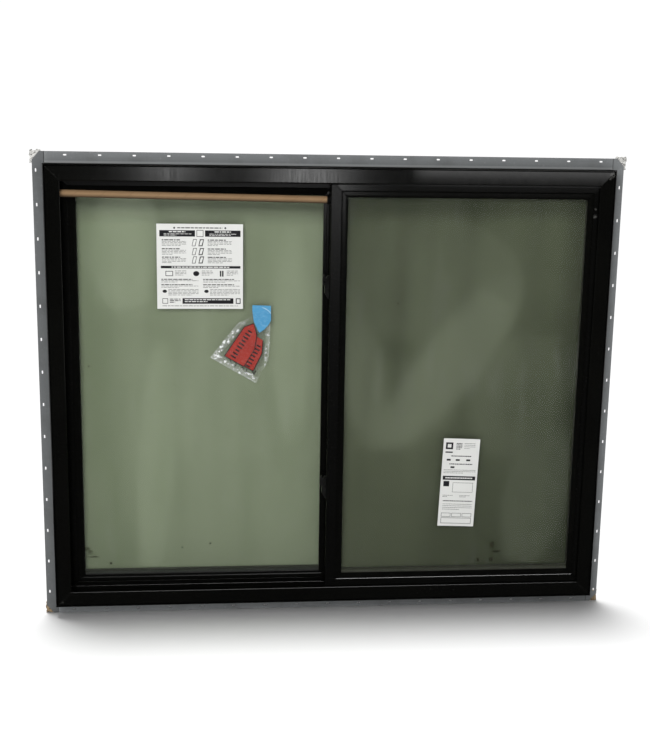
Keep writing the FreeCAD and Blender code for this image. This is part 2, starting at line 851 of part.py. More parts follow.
screen_back = stop_face - S.screen_gap / 2
screen_front = screen_back - S.screen_thick
screen_middle = (screen_front + screen_back) / 2
groove_half = S.mesh_groove / 2
screen_section = [
    (screen_front, 0),
    (screen_front, S.screen_bar),
    (screen_middle - groove_half, S.screen_bar),
    (screen_middle - groove_half, S.screen_bar - S.mesh_tuck),
    (screen_middle + groove_half, S.screen_bar - S.mesh_tuck),
    (screen_middle + groove_half, S.screen_bar),
    (screen_back, S.screen_bar),
    (screen_back, 0),
]
screen_x0 = S.mullion_right + S.screen_gap
screen_x1 = frame_half - S.platform_reach - S.screen_gap
screen_low = platform_low + S.screen_gap / 2
screen_high = platform_high - S.screen_gap
screen_sides = ring_stations(screen_x0, screen_x1, screen_low, screen_high)
SCREEN_BARS = {
    "bottom": "screen_bottom_bar",
    "right": "screen_jamb_bar",
    "top": "screen_top_bar",
    "left": "screen_meeting_bar",
}
for side, label in SCREEN_BARS.items():
    parts.append(mitred_bar(label, screen_sides[side], screen_section, S.screen_bar))
mesh_inset = S.screen_bar - S.mesh_tuck + S.seat_gap
parts.append(plate(
    "screen_mesh",
    screen_x1 - screen_x0 - 2 * mesh_inset,
    S.mesh_thick,
    screen_high - screen_low - 2 * mesh_inset,
    (screen_x0 + screen_x1) / 2,
    screen_middle - S.mesh_thick / 2,
    (screen_low + screen_high) / 2))

# Shipping tube wedged between the left jamb and the sash, with a cap on its right end

tube_left = -frame_half + S.channel_floor + S.wedge_gap
cap_right = sash_x0 - S.wedge_gap
tube_right = cap_right - S.cap_length - S.wedge_gap
tube_run = tube_right - tube_left
tube_x = (tube_left + tube_right) / 2
tube_slope = math.tan(math.radians(S.tube_tilt.value))
tube_z = head_level - S.tube_drop

tube = new_body("shipping_tube")
tube_rings = new_sketch(tube, "shipping_tube_rings", "YZ_Plane")
draw_circle(tube_rings, 0, 0, S.tube_radius)
draw_circle(tube_rings, 0, 0, S.tube_radius - S.tube_wall)
pad(tube, tube_rings, tube_run)
place(tube, tube_x, -S.tube_depth, tube_z, S.tube_tilt.value)
parts.append(tube)

cap = new_body("shipping_tube_cap")
cap_face = new_sketch(cap, "shipping_tube_cap_face", "YZ_Plane")
draw_circle(cap_face, 0, 0, S.cap_radius)
pad(cap, cap_face, S.cap_length)
cap_x = cap_right - S.cap_length / 2
place(cap, cap_x, -S.tube_depth, tube_z - (cap_x - tube_x) * tube_slope, S.tube_tilt.value)
parts.append(cap)

# Papers, tape and hardware bag on the room side of the glass

fixed_sight_left = fixed_left + S.fixed_bead_reach
fixed_sight_top = platform_high - S.fixed_bead_reach
leaflet_left = fixed_sight_left + S.leaflet_inset
leaflet_top = fixed_sight_top - S.leaflet_drop
parts.append(plate(
    "instruction_sheet", S.leaflet_width, S.paper_thick, S.leaflet_height,
    leaflet_left + S.leaflet_width / 2, fixed_glass_face - S.paper_thick,
    leaflet_top - S.leaflet_height / 2))
rating_left = sash_x0 + sash_sight + S.rating_inset
rating_bottom = sash_low + sash_sight + S.rating_rise
parts.append(plate(
    "rating_sheet", S.rating_width, S.paper_thick, S.rating_height,
    rating_left + S.rating_width / 2, sash_glass_face - S.paper_thick,
    rating_bottom + S.rating_height / 2, S.rating_tilt.value))
tape_left = leaflet_left + S.leaflet_width + S.tape_gap
bag_top = leaflet_top - S.leaflet_height - S.bag_gap
parts.append(plate(
    "tape_strip", S.tape_width, S.paper_thick, S.tape_height,
    tape_left + S.tape_width / 2, fixed_glass_face - S.paper_thick, bag_top + S.tape_height / 2))


def hardware_bag():
    """A flat pouch that hangs by its upper right corner."""
    label = "hardware_bag"
    body = new_body(label)
    wide, tall = S.bag_width, S.bag_height
    corners = [
        (wide / 4, 0),
        (wide / 2, -tall / 5),
        (wide / 2 - wide / 16, -tall * 0.7),
        (wide / 4, -tall),
        (-wide / 2, -tall * 0.6),
    ]
    pad(body, outline(body, label + "_side", "XZ_Plane", corners), S.bag_thick)
    bag_x = tape_left + S.tape_width - S.bag_overlap - wide / 2
    place(body, bag_x, fixed_glass_face - S.seat_gap - S.bag_thick / 2, bag_top)
    return body


parts.append(hardware_bag())

# Check every object, then write one file for each piece

doc.recompute()
for thing in doc.Objects:
    if "Invalid" in thing.State or "Error" in thing.State:
        raise RuntimeError(f"{thing.Label} failed: {thing.State}")
for piece in parts:
    if piece.Shape.isNull() or not piece.Shape.isValid() or not piece.Shape.Solids:
        raise RuntimeError(f"{piece.Label} has no valid solid")

os.makedirs("parts", exist_ok=True)
for piece in parts:
    piece.Shape.exportStep(f"parts/{piece.Label}.step")
    box = piece.Shape.BoundBox
    print(f"{piece.Label:24s} solids {len(piece.Shape.Solids)} volume {piece.Shape.Volume / 1000:9.1f} cm3"
          f"  x {box.XMin:8.1f} {box.XMax:8.1f}  y {box.YMin:6.1f} {box.YMax:6.1f}"
          f"  z {box.ZMin:7.1f} {box.ZMax:7.1f}")
print(len(parts), "pieces")
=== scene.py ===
# %% [markdown]
# A horizontal sliding window in satin black: a mitred frame with a grey nailing fin round it, a fixed
# light on the left, a sliding sash on the right, and the packing it is delivered in. The solids were
# made in CAD and stay exactly where they are. This lesson gives each of them a finish, and adds the
# soft and fine pieces that solids can't show.

# %% Load the solids
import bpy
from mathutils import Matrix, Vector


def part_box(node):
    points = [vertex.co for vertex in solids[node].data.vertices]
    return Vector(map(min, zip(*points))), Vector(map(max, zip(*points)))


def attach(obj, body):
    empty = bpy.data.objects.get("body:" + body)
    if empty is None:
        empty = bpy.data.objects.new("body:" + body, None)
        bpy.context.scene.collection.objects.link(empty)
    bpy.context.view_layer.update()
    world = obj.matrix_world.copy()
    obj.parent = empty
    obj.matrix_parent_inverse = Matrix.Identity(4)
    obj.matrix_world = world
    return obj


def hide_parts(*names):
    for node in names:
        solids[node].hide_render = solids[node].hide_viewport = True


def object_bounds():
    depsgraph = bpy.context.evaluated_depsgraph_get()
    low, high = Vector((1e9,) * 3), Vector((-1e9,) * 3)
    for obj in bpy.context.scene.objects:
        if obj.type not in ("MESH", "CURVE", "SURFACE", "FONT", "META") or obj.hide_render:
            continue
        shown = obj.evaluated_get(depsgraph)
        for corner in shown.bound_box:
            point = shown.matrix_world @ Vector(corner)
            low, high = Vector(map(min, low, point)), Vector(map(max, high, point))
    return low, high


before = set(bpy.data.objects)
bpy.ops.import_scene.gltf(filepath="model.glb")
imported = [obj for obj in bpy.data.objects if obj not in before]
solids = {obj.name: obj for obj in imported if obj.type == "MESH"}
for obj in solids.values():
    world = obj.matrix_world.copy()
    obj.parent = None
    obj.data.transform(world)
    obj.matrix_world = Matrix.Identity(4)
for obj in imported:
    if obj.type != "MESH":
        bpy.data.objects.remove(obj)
cad_low, cad_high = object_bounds()
print("solids:", len(solids), "box in metres:", [round(b - a, 4) for a, b in zip(cad_low, cad_high)])

# %% [markdown]
# The camera stands three metres away, a little left of the middle, and looks slightly down. Its turn,
# tilt and roll are three rotations, one after the other, which are easier to read and to correct than
# nine numbers of a matrix. The lens is given for the long side of the picture, since Blender's
# automatic sensor fit measures along that side.

# %% Set up the camera
import math
import bpy
from mathutils import Matrix, Vector, noise

LONG_SIDE_PIXELS = 750
FOCAL_PIXELS = 1182.96
EYE = Vector((-0.3209, -3.1547, 1.3174))


def put_in_scene(name, data):
    thing = bpy.data.objects.new(name, data)
    bpy.context.scene.collection.objects.link(thing)
    return thing


view_data = bpy.data.cameras.new("front_view")
view_data.sensor_width = 36
view_data.lens = FOCAL_PIXELS / LONG_SIDE_PIXELS * view_data.sensor_width
view_data.clip_end = 200
front_view = put_in_scene("front_view", view_data)
turn = Matrix.Rotation(math.radians(-5.499), 4, "Z")
tilt = Matrix.Rotation(math.radians(90 - 11.732), 4, "X")
roll = Matrix.Rotation(math.radians(0.889), 4, "Z")
front_view.matrix_world = Matrix.Translation(EYE) @ turn @ tilt @ roll
bpy.context.scene.camera = front_view
print("lens in mm:", round(view_data.lens, 2))

# %% [markdown]
# Finishes are written as sums and products of patterns, so a small class wraps a socket and lets
# Python's own operators add the Math nodes. The reflected forms are there too, so that 1 - mask works.
# A clamped span from one range to another, and a mask for what lies near a value, are methods.

# %% A class for values over a surface
FADE_START = 0.35


class Signal:
    """A socket whose value changes over a surface."""

    def __init__(self, recipe, socket):
        self.recipe = recipe
        self.socket = socket

    def maths(self, operation, *values):
        return self.recipe.node("ShaderNodeMath", {"operation": operation}, dict(enumerate(values)))

    def __add__(self, other):
        return self.maths("ADD", self, other)

    def __sub__(self, other):
        return self.maths("SUBTRACT", self, other)

    def __rsub__(self, other):
        return self.maths("SUBTRACT", other, self)

    def __mul__(self, other):
        return self.maths("MULTIPLY", self, other)

    def __abs__(self):
        return self.maths("ABSOLUTE", self)

    __radd__ = __add__
    __rmul__ = __mul__

    def span(self, low, high, start=0.0, end=1.0):
        values = dict(enumerate((self, low, high, start, end)))
        return self.recipe.node("ShaderNodeMapRange", {"clamp": True}, values)

    def near(self, value, reach):
        return abs(self - value).span(FADE_START * reach, reach, 1.0, 0.0)


print("operators ready: +, -, * and abs")

# %% [markdown]
# A second class holds the nodes of one material or of the world. One method adds any node: its type,
# its settings, which go first, and then its values and links. The patterns that come back are short
# methods: a cloud of noise, finer or coarser along each axis, a mix of two colours, a round spot at a
# place on the window, and a bump. They read object coordinates, in metres, so a scratch has the same
# size on the sill and on the lock.

# %% A class for the nodes of a finish
class Recipe:
    """The nodes of one material or of the world."""

    def __init__(self, owner):
        owner.use_nodes = True
        self.tree = owner.node_tree
        self.where = None

    def node(self, kind, settings=None, sockets=None, output=0):
        made = self.tree.nodes.new(kind)
        for name, value in (settings or {}).items():
            setattr(made, name, value)
        for key, value in (sockets or {}).items():
            if isinstance(value, Signal):
                self.tree.links.new(value.socket, made.inputs[key])
            else:
                made.inputs[key].default_value = value
        return Signal(self, made.outputs[output])

    def place(self):
        if self.where is None:
            self.where = self.node("ShaderNodeTexCoord", output="Object")
        return self.where

    def vector(self, operation, first, second, output=0):
        return self.node("ShaderNodeVectorMath", {"operation": operation}, {0: first, 1: second}, output)

    def cloud(self, scale, detail=3):
        scales = scale if isinstance(scale, tuple) else (scale, scale, scale)
        spread = self.vector("MULTIPLY", self.place(), scales)
        sockets = {"Vector": spread, "Scale": 1.0, "Detail": detail, "Roughness": 0.55}
        return self.node("ShaderNodeTexNoise", None, sockets)

    def mix(self, share, first, second):
        ends = [(*end, 1.0) if isinstance(end, tuple) else end for end in (first, second)]
        return self.node("ShaderNodeMix", {"data_type": "RGBA"}, {0: share, 6: ends[0], 7: ends[1]}, 2)

    def spot(self, centre, reach, squash=(1, 1, 1)):
        spread = self.vector("MULTIPLY", self.place(), squash)
        away = self.vector("DISTANCE", spread, tuple(c * s for c, s in zip(centre, squash)), "Value")
        return away.span(FADE_START * reach, reach, 1.0, 0.0)

    def axis(self, letter):
        return self.node("ShaderNodeSeparateXYZ", None, {0: self.place()}, letter)

    def bump(self, height, depth, strength):
        sockets = {"Height": height, "Distance": depth, "Strength": strength}
        return self.node("ShaderNodeBump", None, sockets)


print("recipe methods:", len([name for name in vars(Recipe) if not name.startswith("_")]))

# %% [markdown]
# A finish is a recipe with one Principled shader. Most finishes end alike, in a colour, a roughness and
# a bump, so one method feeds all three. The simplest ones, such as nylon, ink or rubber, only waver
# between two tones and get rougher as they do, and a short function makes those from a few numbers.

# %% A class for finishes
class Finish(Recipe):
    """A material: one Principled shader, its constants, and what is fed to it."""

    def __init__(self, name, specular=0.5, constants=None):
        self.material = bpy.data.materials.new(name)
        super().__init__(self.material)
        self.shader = next(n for n in self.tree.nodes if n.type == "BSDF_PRINCIPLED")
        self.shader.inputs["Specular IOR Level"].default_value = specular
        for socket, value in (constants or {}).items():
            self.shader.inputs[socket].default_value = value

    def feed(self, socket, signal):
        self.tree.links.new(signal.socket, self.shader.inputs[socket])

    def surface(self, colour, roughness, height=None, depth=0.0, strength=0.5):
        self.feed("Base Color", colour)
        self.feed("Roughness", roughness)
        if height is not None:
            self.feed("Normal", self.bump(height, depth, strength))


def two_tone(name, cloud, tones, rough, band=None, grain=None, specular=0.5, constants=None):
    """A finish whose colour and gloss follow one cloud. A grain, where given, is a finer bump."""
    finish = Finish(name, specular, constants)
    pattern = finish.cloud(*cloud)
    if band:
        pattern = pattern.span(*band)
    finish.surface(finish.mix(pattern, *tones), rough[0] + rough[1] * pattern)
    if grain:
        scale, depth = grain
        finish.feed("Normal", finish.bump(finish.cloud(scale, 2), depth, 0.5))
    return finish


print("finish methods:", len([name for name in vars(Finish) if not name.startswith("_")]))

# %% [markdown]
# The stage is a pale floor that runs to the horizon under a white sky, as in a studio for catalogue
# pictures. Black satin shows every white thing near it, so the sky is darker to reflections than to
# the camera and the floor is left out of them: the frame then stays black, as in a dark room.

# %% Lay the floor and the sky
FLOOR_REACH = 60.0
FLOOR_GAP = 0.0005
floor_z = cad_low.z - FLOOR_GAP
floor_square = ((-1, -1), (1, -1), (1, 1), (-1, 1))
floor_corners = [(FLOOR_REACH * x, FLOOR_REACH * y, floor_z) for x, y in floor_square]
floor_data = bpy.data.meshes.new("studio_floor")
floor_data.from_pydata(floor_corners, [], [(0, 1, 2, 3)])
studio_floor = put_in_scene("studio_floor", floor_data)
studio_floor.visible_glossy = False
floor_paint = Finish("pale_floor", 0.1, {"Roughness": 0.9})
floor_grey = floor_paint.mix(floor_paint.cloud(0.8), (0.9, 0.9, 0.9), (0.93, 0.93, 0.93))
floor_paint.feed("Base Color", floor_grey)
floor_data.materials.append(floor_paint.material)

studio_sky = bpy.data.worlds.new("studio_sky")
bpy.context.scene.world = studio_sky
sky = Recipe(studio_sky)
sky_shader = next(n for n in sky.tree.nodes if n.type == "BACKGROUND")
seen = sky.node("ShaderNodeLightPath", output="Is Camera Ray")
mirrored = sky.node("ShaderNodeLightPath", output="Is Glossy Ray")
sky_level = 0.24 + 0.81 * seen - 0.20 * mirrored
sky.tree.links.new(sky_level.socket, sky_shader.inputs["Strength"])
sky_shader.inputs["Color"].default_value = (1.0, 1.0, 1.0, 1.0)
bpy.context.scene.view_settings.view_transform = "Standard"
print("floor at z:", round(floor_z, 4))

# %% [markdown]
# The lights are few and soft. A wide sun stands high and slightly behind the window, so its shadow
# falls a hand's length in front, and a large panel on the left fills the front. Two thirds of the
# panel's light leave out the floor, so that the shadow isn't washed out, and the strip of fin next to
# it. A low panel lifts the other strips. None of them is mirrored. A last one shows the outdoor side.
# Light linking does this: a lamp may carry a list of the pieces that it lights, or leaves out.

# %% Hang the lights
def aimed(direction):
    return Vector(direction).to_track_quat("-Z", "Y").to_euler()


def panel_light(name, place, target, width, height, power):
    data = bpy.data.lights.new(name, "AREA")
    data.shape = "RECTANGLE"
    data.size = width
    data.size_y = height
    data.energy = power
    lamp = put_in_scene(name, data)
    lamp.location = place
    lamp.rotation_euler = aimed(Vector(target) - Vector(place))
    return lamp


def link_light(lamp, pieces, state="INCLUDE"):
    listed = bpy.data.collections.new(lamp.name + "_list")
    for piece in pieces:
        listed.objects.link(piece)
    for entry in listed.collection_objects:
        entry.light_linking.link_state = state
    lamp.light_linking.receiver_collection = listed


sun_data = bpy.data.lights.new("high_sun", "SUN")
sun_data.energy = 3.0
sun_data.angle = math.radians(15)
high_sun = put_in_scene("high_sun", sun_data)
high_sun.rotation_euler = aimed((0.05, -0.13, -1.0))
ROOM_PANEL = ((-1.8, -3.8, 3.3), (0, 0, 0.9), 2.6, 2.0)
front_fill = panel_light("front_fill", *ROOM_PANEL, 88)
link_light(front_fill, [studio_floor, solids["fin_left"]], "EXCLUDE")
room_fill = panel_light("room_fill", *ROOM_PANEL, 40)
fin_fill = panel_light("fin_fill", (-0.6, -1.3, 0.15), (-0.2, 0, 0.1), 1.6, 0.3, 4.6)
link_light(fin_fill, [solids[n] for n in ("fin_head", "fin_sill", "fin_right")])
back_fill = panel_light("back_fill", (1.6, 3.6, 2.6), (0, 0, 0.6), 2.4, 1.8, 45)
link_light(back_fill, [studio_floor], "EXCLUDE")
for unmirrored in (high_sun, front_fill, room_fill, fin_fill):
    unmirrored.visible_glossy = False
print("lights that are not mirrored: 4, and one behind")

# %% [markdown]
# What satin mirrors is hung apart and lights nothing else. A long strip overhead is drawn as thin
# bright lines by the eased upper edges of the rails and, more faintly, of the sill and the beads. Panels
# behind the camera make the grey sheen of the head, and the one on the right hangs close, so that its
# mirror image fades within the height of the head. Dim glows on both sides and behind keep the bars
# from looking like flat black shapes in other views.

# %% Hang what the satin mirrors
def mirror_panel(name, place, target, width, height, power, pieces):
    """A panel that is mirrored by the listed pieces, lights nothing and isn't seen."""
    lamp = panel_light(name, place, target, width, height, power)
    lamp.visible_diffuse = False
    lamp.visible_camera = False
    link_light(lamp, pieces)
    return lamp


def solids_of(*starts):
    return [solids[n] for n in solids if n.startswith(starts) and "pane" not in n]


STRIP = ((0.2, -1.23, 3.0), (0, 0, 0.05), 3.4, 0.40)
UPPER_BARS = ("frame_head", "sash_top", "sash_meeting", "fixed_meeting")
mirrored_panels = [
    ("rail_glint", *STRIP, 75, ("sash_",)),
    ("sill_glint", *STRIP, 26, ("frame_", "fixed_", "sill_track")),
    ("head_sheen", (0.25, -4.2, 1.07), (0.25, 0, 1.07), 0.36, 0.36, 2.7, UPPER_BARS),
    ("left_sheen", (-0.58, -4.2, 1.14), (-0.58, 0, 1.14), 0.18, 0.36, 1.5, UPPER_BARS),
    ("right_sheen", (0.625, -0.5, 1.246), (0.625, 0, 1.246), 0.66, 0.12, 0.52, UPPER_BARS),
    ("left_glow", (-1.7, 0.0, 0.75), (0, 0, 0.75), 1.4, 1.4, 4, ("frame_",)),
    ("right_glow", (1.7, 0.0, 0.75), (0, 0, 0.75), 1.4, 1.4, 4, ("frame_",)),
    ("back_glow", (0, 5.0, 1.55), (0, 0, 1.55), 12.0, 3.0, 50, ("frame_", "fixed_", "sash_", "screen_")),
]
for *panel, starts in mirrored_panels:
    mirror_panel(*panel, solids_of(*starts))
print("mirrored panels:", len(mirrored_panels))

# %% [markdown]
# Glass looks like glass by what it mirrors, so dim cards hang in front of the panes and shine on them
# alone. A card is seen in a pane where the line from the camera, bent back at the glass, meets it. So
# each card is given by where it should show, and its own place follows from similar triangles.

# %% Hang cards for the glass
CARD_Y = -1.0
CARD_TINT = (0.90, 1.0, 0.76)


def glass_card(side, kind, x, z, width, height, lean, level):
    pane = side + "_outer_pane"
    pane_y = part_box(pane)[0].y
    stretch = (pane_y - CARD_Y) / (pane_y - EYE.y)
    card_x = x + (x - EYE.x) * stretch
    card_z = z + (z - EYE.z) * stretch
    wide = width * (1 + stretch)
    tall = height * (1 + stretch)
    power = level * math.pi * wide * tall
    place = (card_x, CARD_Y, card_z)
    target = (card_x, 0, card_z)
    card = mirror_panel(f"{side}_{kind}_card", place, target, wide, tall, power, [solids[pane]])
    card.data.shape = "ELLIPSE"
    card.data.color = CARD_TINT
    leaning = Matrix.Rotation(math.radians(lean), 3, "Y") @ card.rotation_euler.to_matrix()
    card.rotation_euler = leaning.to_euler()


glass_cards = [
    ("fixed", "tall", -0.480, 0.40, 0.100, 0.70, 3, 1.3),
    ("fixed", "top", -0.555, 1.00, 0.190, 0.34, 5, 1.1),
    ("fixed", "edge", -0.110, 0.76, 0.100, 0.62, 0, 0.8),
    ("sash", "slant", 0.335, 0.700, 0.170, 0.60, 36, 1.15),
    ("sash", "left", 0.070, 0.690, 0.130, 0.50, -14, 0.80),
    ("sash", "round", 0.520, 0.600, 0.260, 0.36, 15, 0.35),
    ("sash", "low", 0.590, 0.310, 0.190, 0.42, 10, 0.55),
    ("sash", "top", 0.240, 0.930, 0.560, 0.34, 0, 0.42),
]
for card_row in glass_cards:
    glass_card(*card_row)
print("cards:", len(glass_cards))

# %% [markdown]
# The frame and the sash are a pultruded bar with a baked satin black coat. One flat black would look
# like a hole in the picture, so the coat gets slow clouds of tone, upright or level brush marks that vary
# its gloss, dust in patches, and a few pale rubs where a unit is carried, which are spots broken up by
# noise. Where two bars are mitred, the cut is painted as a pale hairline, a painted highlight of light
# caught by the joint: it lies where a point is as far from one outer edge as from the other. What stands
# back behind the face is duller, most of all under the head.

# %% Satin black for the bars
FACE_REACH = 0.043
HAIRLINE = 0.0011
PALE_DUST = (0.12, 0.12, 0.11)
frame_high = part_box("frame_head")[1]
frame_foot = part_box("frame_sill")[0].z
lip_z = frame_high.z - FACE_REACH


# Painted highlight: the pale hairline along each mitre stands in for light caught by the joint.
def mitre_highlight_lines(coat):
    from_side = frame_high.x - abs(coat.axis("X"))
    upper = (frame_high.z - coat.axis("Z") - from_side).near(0.0, HAIRLINE)
    lower = (coat.axis("Z") - frame_foot - from_side).near(0.0, HAIRLINE)
    return 0.25 * upper + 0.2 * lower


def satin_black(name, light, brush_scale, rubs, gloss, recess=0.0, mitred=False):
    coat = Finish(name)
    clouds = coat.cloud(6, 4)
    brush = coat.cloud(brush_scale, 2).span(0.40, 0.60)
    dust = coat.cloud(300, 2).span(0.68, 0.78) * coat.cloud(5).span(0.46, 0.70)
    colour = coat.mix(clouds, (0.0006, 0.0006, 0.0004), light)
    colour = coat.mix(0.25 * dust, colour, PALE_DUST)
    ragged = coat.cloud((210, 210, 525), 4).span(0.44, 0.62)
    for centre, size, share in rubs:
        colour = coat.mix(share * coat.spot(centre, size) * ragged, colour, (0.30, 0.30, 0.28))
    if mitred:
        colour = coat.mix(mitre_highlight_lines(coat), colour, (0.05, 0.05, 0.047))
    behind = coat.axis("Y").span(-0.034, -0.031)
    under_lip = coat.axis("Z").span(lip_z - 0.0042, lip_z - 0.0030)
    streak = brush * (1 - behind)
    rough = gloss + 0.040 * streak + 0.03 * clouds + 0.20 * dust + recess * behind + 0.30 * behind * under_lip
    coat.surface(colour, rough, streak + 0.2 * coat.cloud(1200, 2), 0.00003, 0.32)
    return coat


FRAME_TONE = (0.0026, 0.0027, 0.0020)
SASH_TONE = (0.0022, 0.0023, 0.0017)
corner_rubs = [((0.744, -0.038, 1.209), 0.009, 0.5), ((0.738, -0.038, 1.200), 0.005, 0.4),
               ((-0.738, -0.038, 0.030), 0.005, 0.15)]
stile_rubs = [((0.7045, -0.0295, 1.098), 0.007, 0.35), ((0.7045, -0.0295, 1.118), 0.004, 0.35)]
frame_black = satin_black("frame_black_coat", FRAME_TONE, (330, 330, 14), corner_rubs, 0.12, 0.19, True)
side_black = satin_black("side_black_coat", FRAME_TONE, (14, 330, 330), corner_rubs, 0.12, 0.12, True)
stile_black = satin_black("stile_black_coat", SASH_TONE, (220, 220, 10), stile_rubs, 0.25)
sash_black = satin_black("sash_black_coat", SASH_TONE, (220, 220, 10), [], 0.14)
print("satin blacks: 4, rubs placed:", len(corner_rubs) + len(stile_rubs))

# %% [markdown]
# The beads that hold the glass, the track and the lock are moulded in black as well. The same numbers
# would make them all alike, so each has its own pattern for gloss: a bead is soft and even, the track is
# scored lengthwise by the rollers, and the lock is cast, with a fine pebble grain.

# %% Moulded blacks
bead = Finish("bead_black_vinyl", 0.3)
bead_cloud = bead.cloud(40, 4)
bead_tone = bead.mix(bead_cloud, (0.0008, 0.0008, 0.0006), (0.0030, 0.0031, 0.0024))
bead_tone = bead.mix(0.15 * bead.cloud(500, 2).span(0.64, 0.76), bead_tone, PALE_DUST)
bead.surface(bead_tone, 0.12 + 0.12 * bead_cloud, bead.cloud(1500), 0.00001, 0.4)

track = Finish("track_black_scored", 0.8)
score = track.cloud((6, 1400, 1400))
grit = track.cloud(600).span(0.60, 0.75)
scored = track.mix(score.span(0.5, 0.75), (0.002, 0.002, 0.0016), (0.008, 0.008, 0.007))
scored = track.mix(0.10 * grit, scored, (0.16, 0.15, 0.13))
track.surface(scored, 0.15 + 0.08 * score, score, 0.00001)

lock_tones = ((0.004, 0.004, 0.0036), (0.012, 0.012, 0.011))
lock = two_tone("lock_black_cast", (90, 4), lock_tones, (0.26, 0.2), (0.4, 0.65), (2600, 0.00008), 0.55)
print("moulded blacks: bead, track and lock")

# %% [markdown]
# The nailing fin is a thin grey vinyl strip, drawn through a die, so it has long faint lines along its
# run, some site dust and darker smudges from handling. Noise that is squeezed across the strip and
# drawn out along it makes such lines, upright ones for the upright strips. Where the level strips butt
# against those, dirt draws a dark joint. Where the head strip leaves the frame, a pale band is a painted
# highlight.

# %% Grey vinyl for the fin
def fin_grey(name, line_scale, joint_x=None):
    vinyl = Finish(name, 0.35)
    lines = vinyl.cloud(line_scale)
    smudge = vinyl.cloud(9, 5).span(0.50, 0.72)
    chalk = vinyl.cloud(150, 4).span(0.58, 0.72)
    grey = vinyl.mix(lines, (0.178, 0.188, 0.192), (0.250, 0.261, 0.266))
    grey = vinyl.mix(0.45 * smudge, grey, (0.10, 0.10, 0.098))
    if joint_x:
        # Painted highlight: a pale band along the head strip just above the frame.
        root = vinyl.axis("Z").near(frame_high.z + 0.0025, 0.0045)
        grey = vinyl.mix(0.6 * root, grey, (0.40, 0.41, 0.41))
        joint = abs(vinyl.axis("X")).span(joint_x - 0.0022, joint_x - 0.0010)
        grey = vinyl.mix(0.85 * joint, grey, (0.012, 0.012, 0.012))
    grey = vinyl.mix(0.35 * chalk, grey, (0.36, 0.37, 0.37))
    vinyl.surface(grey, 0.50 + 0.2 * lines + 0.12 * smudge, lines, 0.00012)
    return vinyl


level_grey = fin_grey("fin_grey_level", (8, 500, 500), frame_high.x)
upright_grey = fin_grey("fin_grey_upright", (500, 500, 8))
print("fin greys: level and upright")

# %% [markdown]
# Each light has two panes with a spacer between them. Real glass is clear and only looks green because
# of what stands behind it and in it, and a clear pane in a white studio would look white. So the outer
# pane carries the tint that the unit shows in daylight, sage on the fixed side and a deeper olive where
# the insect screen is behind it. Its soft upright and slanting bands are painted reflections. Along its
# top it is darker, as painted shade where it mirrors the underside of the head, and the sash pane is
# painted darker along its right edge as well.

# %% Tinted outer panes
def tinted_pane(name, deep, pale, cover, lean, shades):
    glass = Finish(name, constants={"IOR": 1.5})
    # Painted reflections: upright bands, a slanting sweep and a mottle move the tint between deep and pale.
    upright = glass.cloud((7, 7, 0.9), 2)
    slant = glass.vector("DOT_PRODUCT", glass.place(), (1.0, 0.0, lean), "Value")
    reflection_sweep = slant.maths("SINE", 5.5 * slant + 2.2 * upright + 0.8)
    mottle = glass.cloud((9, 9, 5.4))
    share = (0.45 * upright + 0.25 * mottle + 0.12 * reflection_sweep).span(0.20, 0.56)
    tint = glass.mix(share, deep, pale)
    for letter, start, end, strength in shades:
        shade = glass.axis(letter).span(start, end, 0.0, strength)
        tint = glass.mix(shade, tint, (0.012, 0.014, 0.008))
    glass.surface(tint, 0.08 + 0.06 * mottle)
    glass.feed("Alpha", cover + 0.02 * mottle)
    return glass


sage = ((0.149, 0.186, 0.108), (0.217, 0.258, 0.166))
olive = ((0.034, 0.042, 0.021), (0.074, 0.088, 0.051))
fixed_shades = [("Z", 1.060, 1.110, 0.45)]
# The sash pane is painted darker towards its right edge too, a painted shade.
sash_shades = [("Z", 1.075, 1.115, 0.45), ("X", 0.61, 0.67, 0.30)]
fixed_tint = tinted_pane("fixed_glass_sage", *sage, 0.92, 0.12, fixed_shades)
sash_tint = tinted_pane("sash_glass_olive", *olive, 0.97, -0.55, sash_shades)
print("tinted panes: 2, shaded edges:", len(fixed_shades) + len(sash_shades))

# %% [markdown]
# The inner pane is nearly clear, with wipe marks and the specks and strokes of dirt that a delivered
# window has, mostly low down. Each speck is a round spot at its own place, and a stroke is a spot that is
# squashed and torn by noise. Where there is dirt, the pane lets less through and turns dull.

# %% Dusty inner panes
def dusty_pane(name, y, specks, strokes, haze):
    glass = Finish(name, 0.6, {"IOR": 1.5})
    patches = glass.cloud(4, 4).span(0.46, 0.72)
    wipe = glass.cloud((30, 30, 5), 4).span(0.52, 0.74)
    veil = haze + 0.03 * wipe * patches
    ragged = glass.cloud(420, 4).span(0.36, 0.56)
    marks = [share * glass.spot((x, y, z), size) for x, z, size, share in specks]
    for x, z, size, share, wide, tall in strokes:
        marks.append(share * glass.spot((x, y, z), size, (wide, 1, tall)) * ragged)
    grime = sum(marks[1:], marks[0])
    stained = glass.mix(grime.span(0.0, 0.03), (0.80, 0.83, 0.78), (0.035, 0.034, 0.018))
    glass.surface(stained, 0.05 + 0.5 * veil + 0.4 * grime)
    glass.feed("Alpha", veil + grime)
    return glass


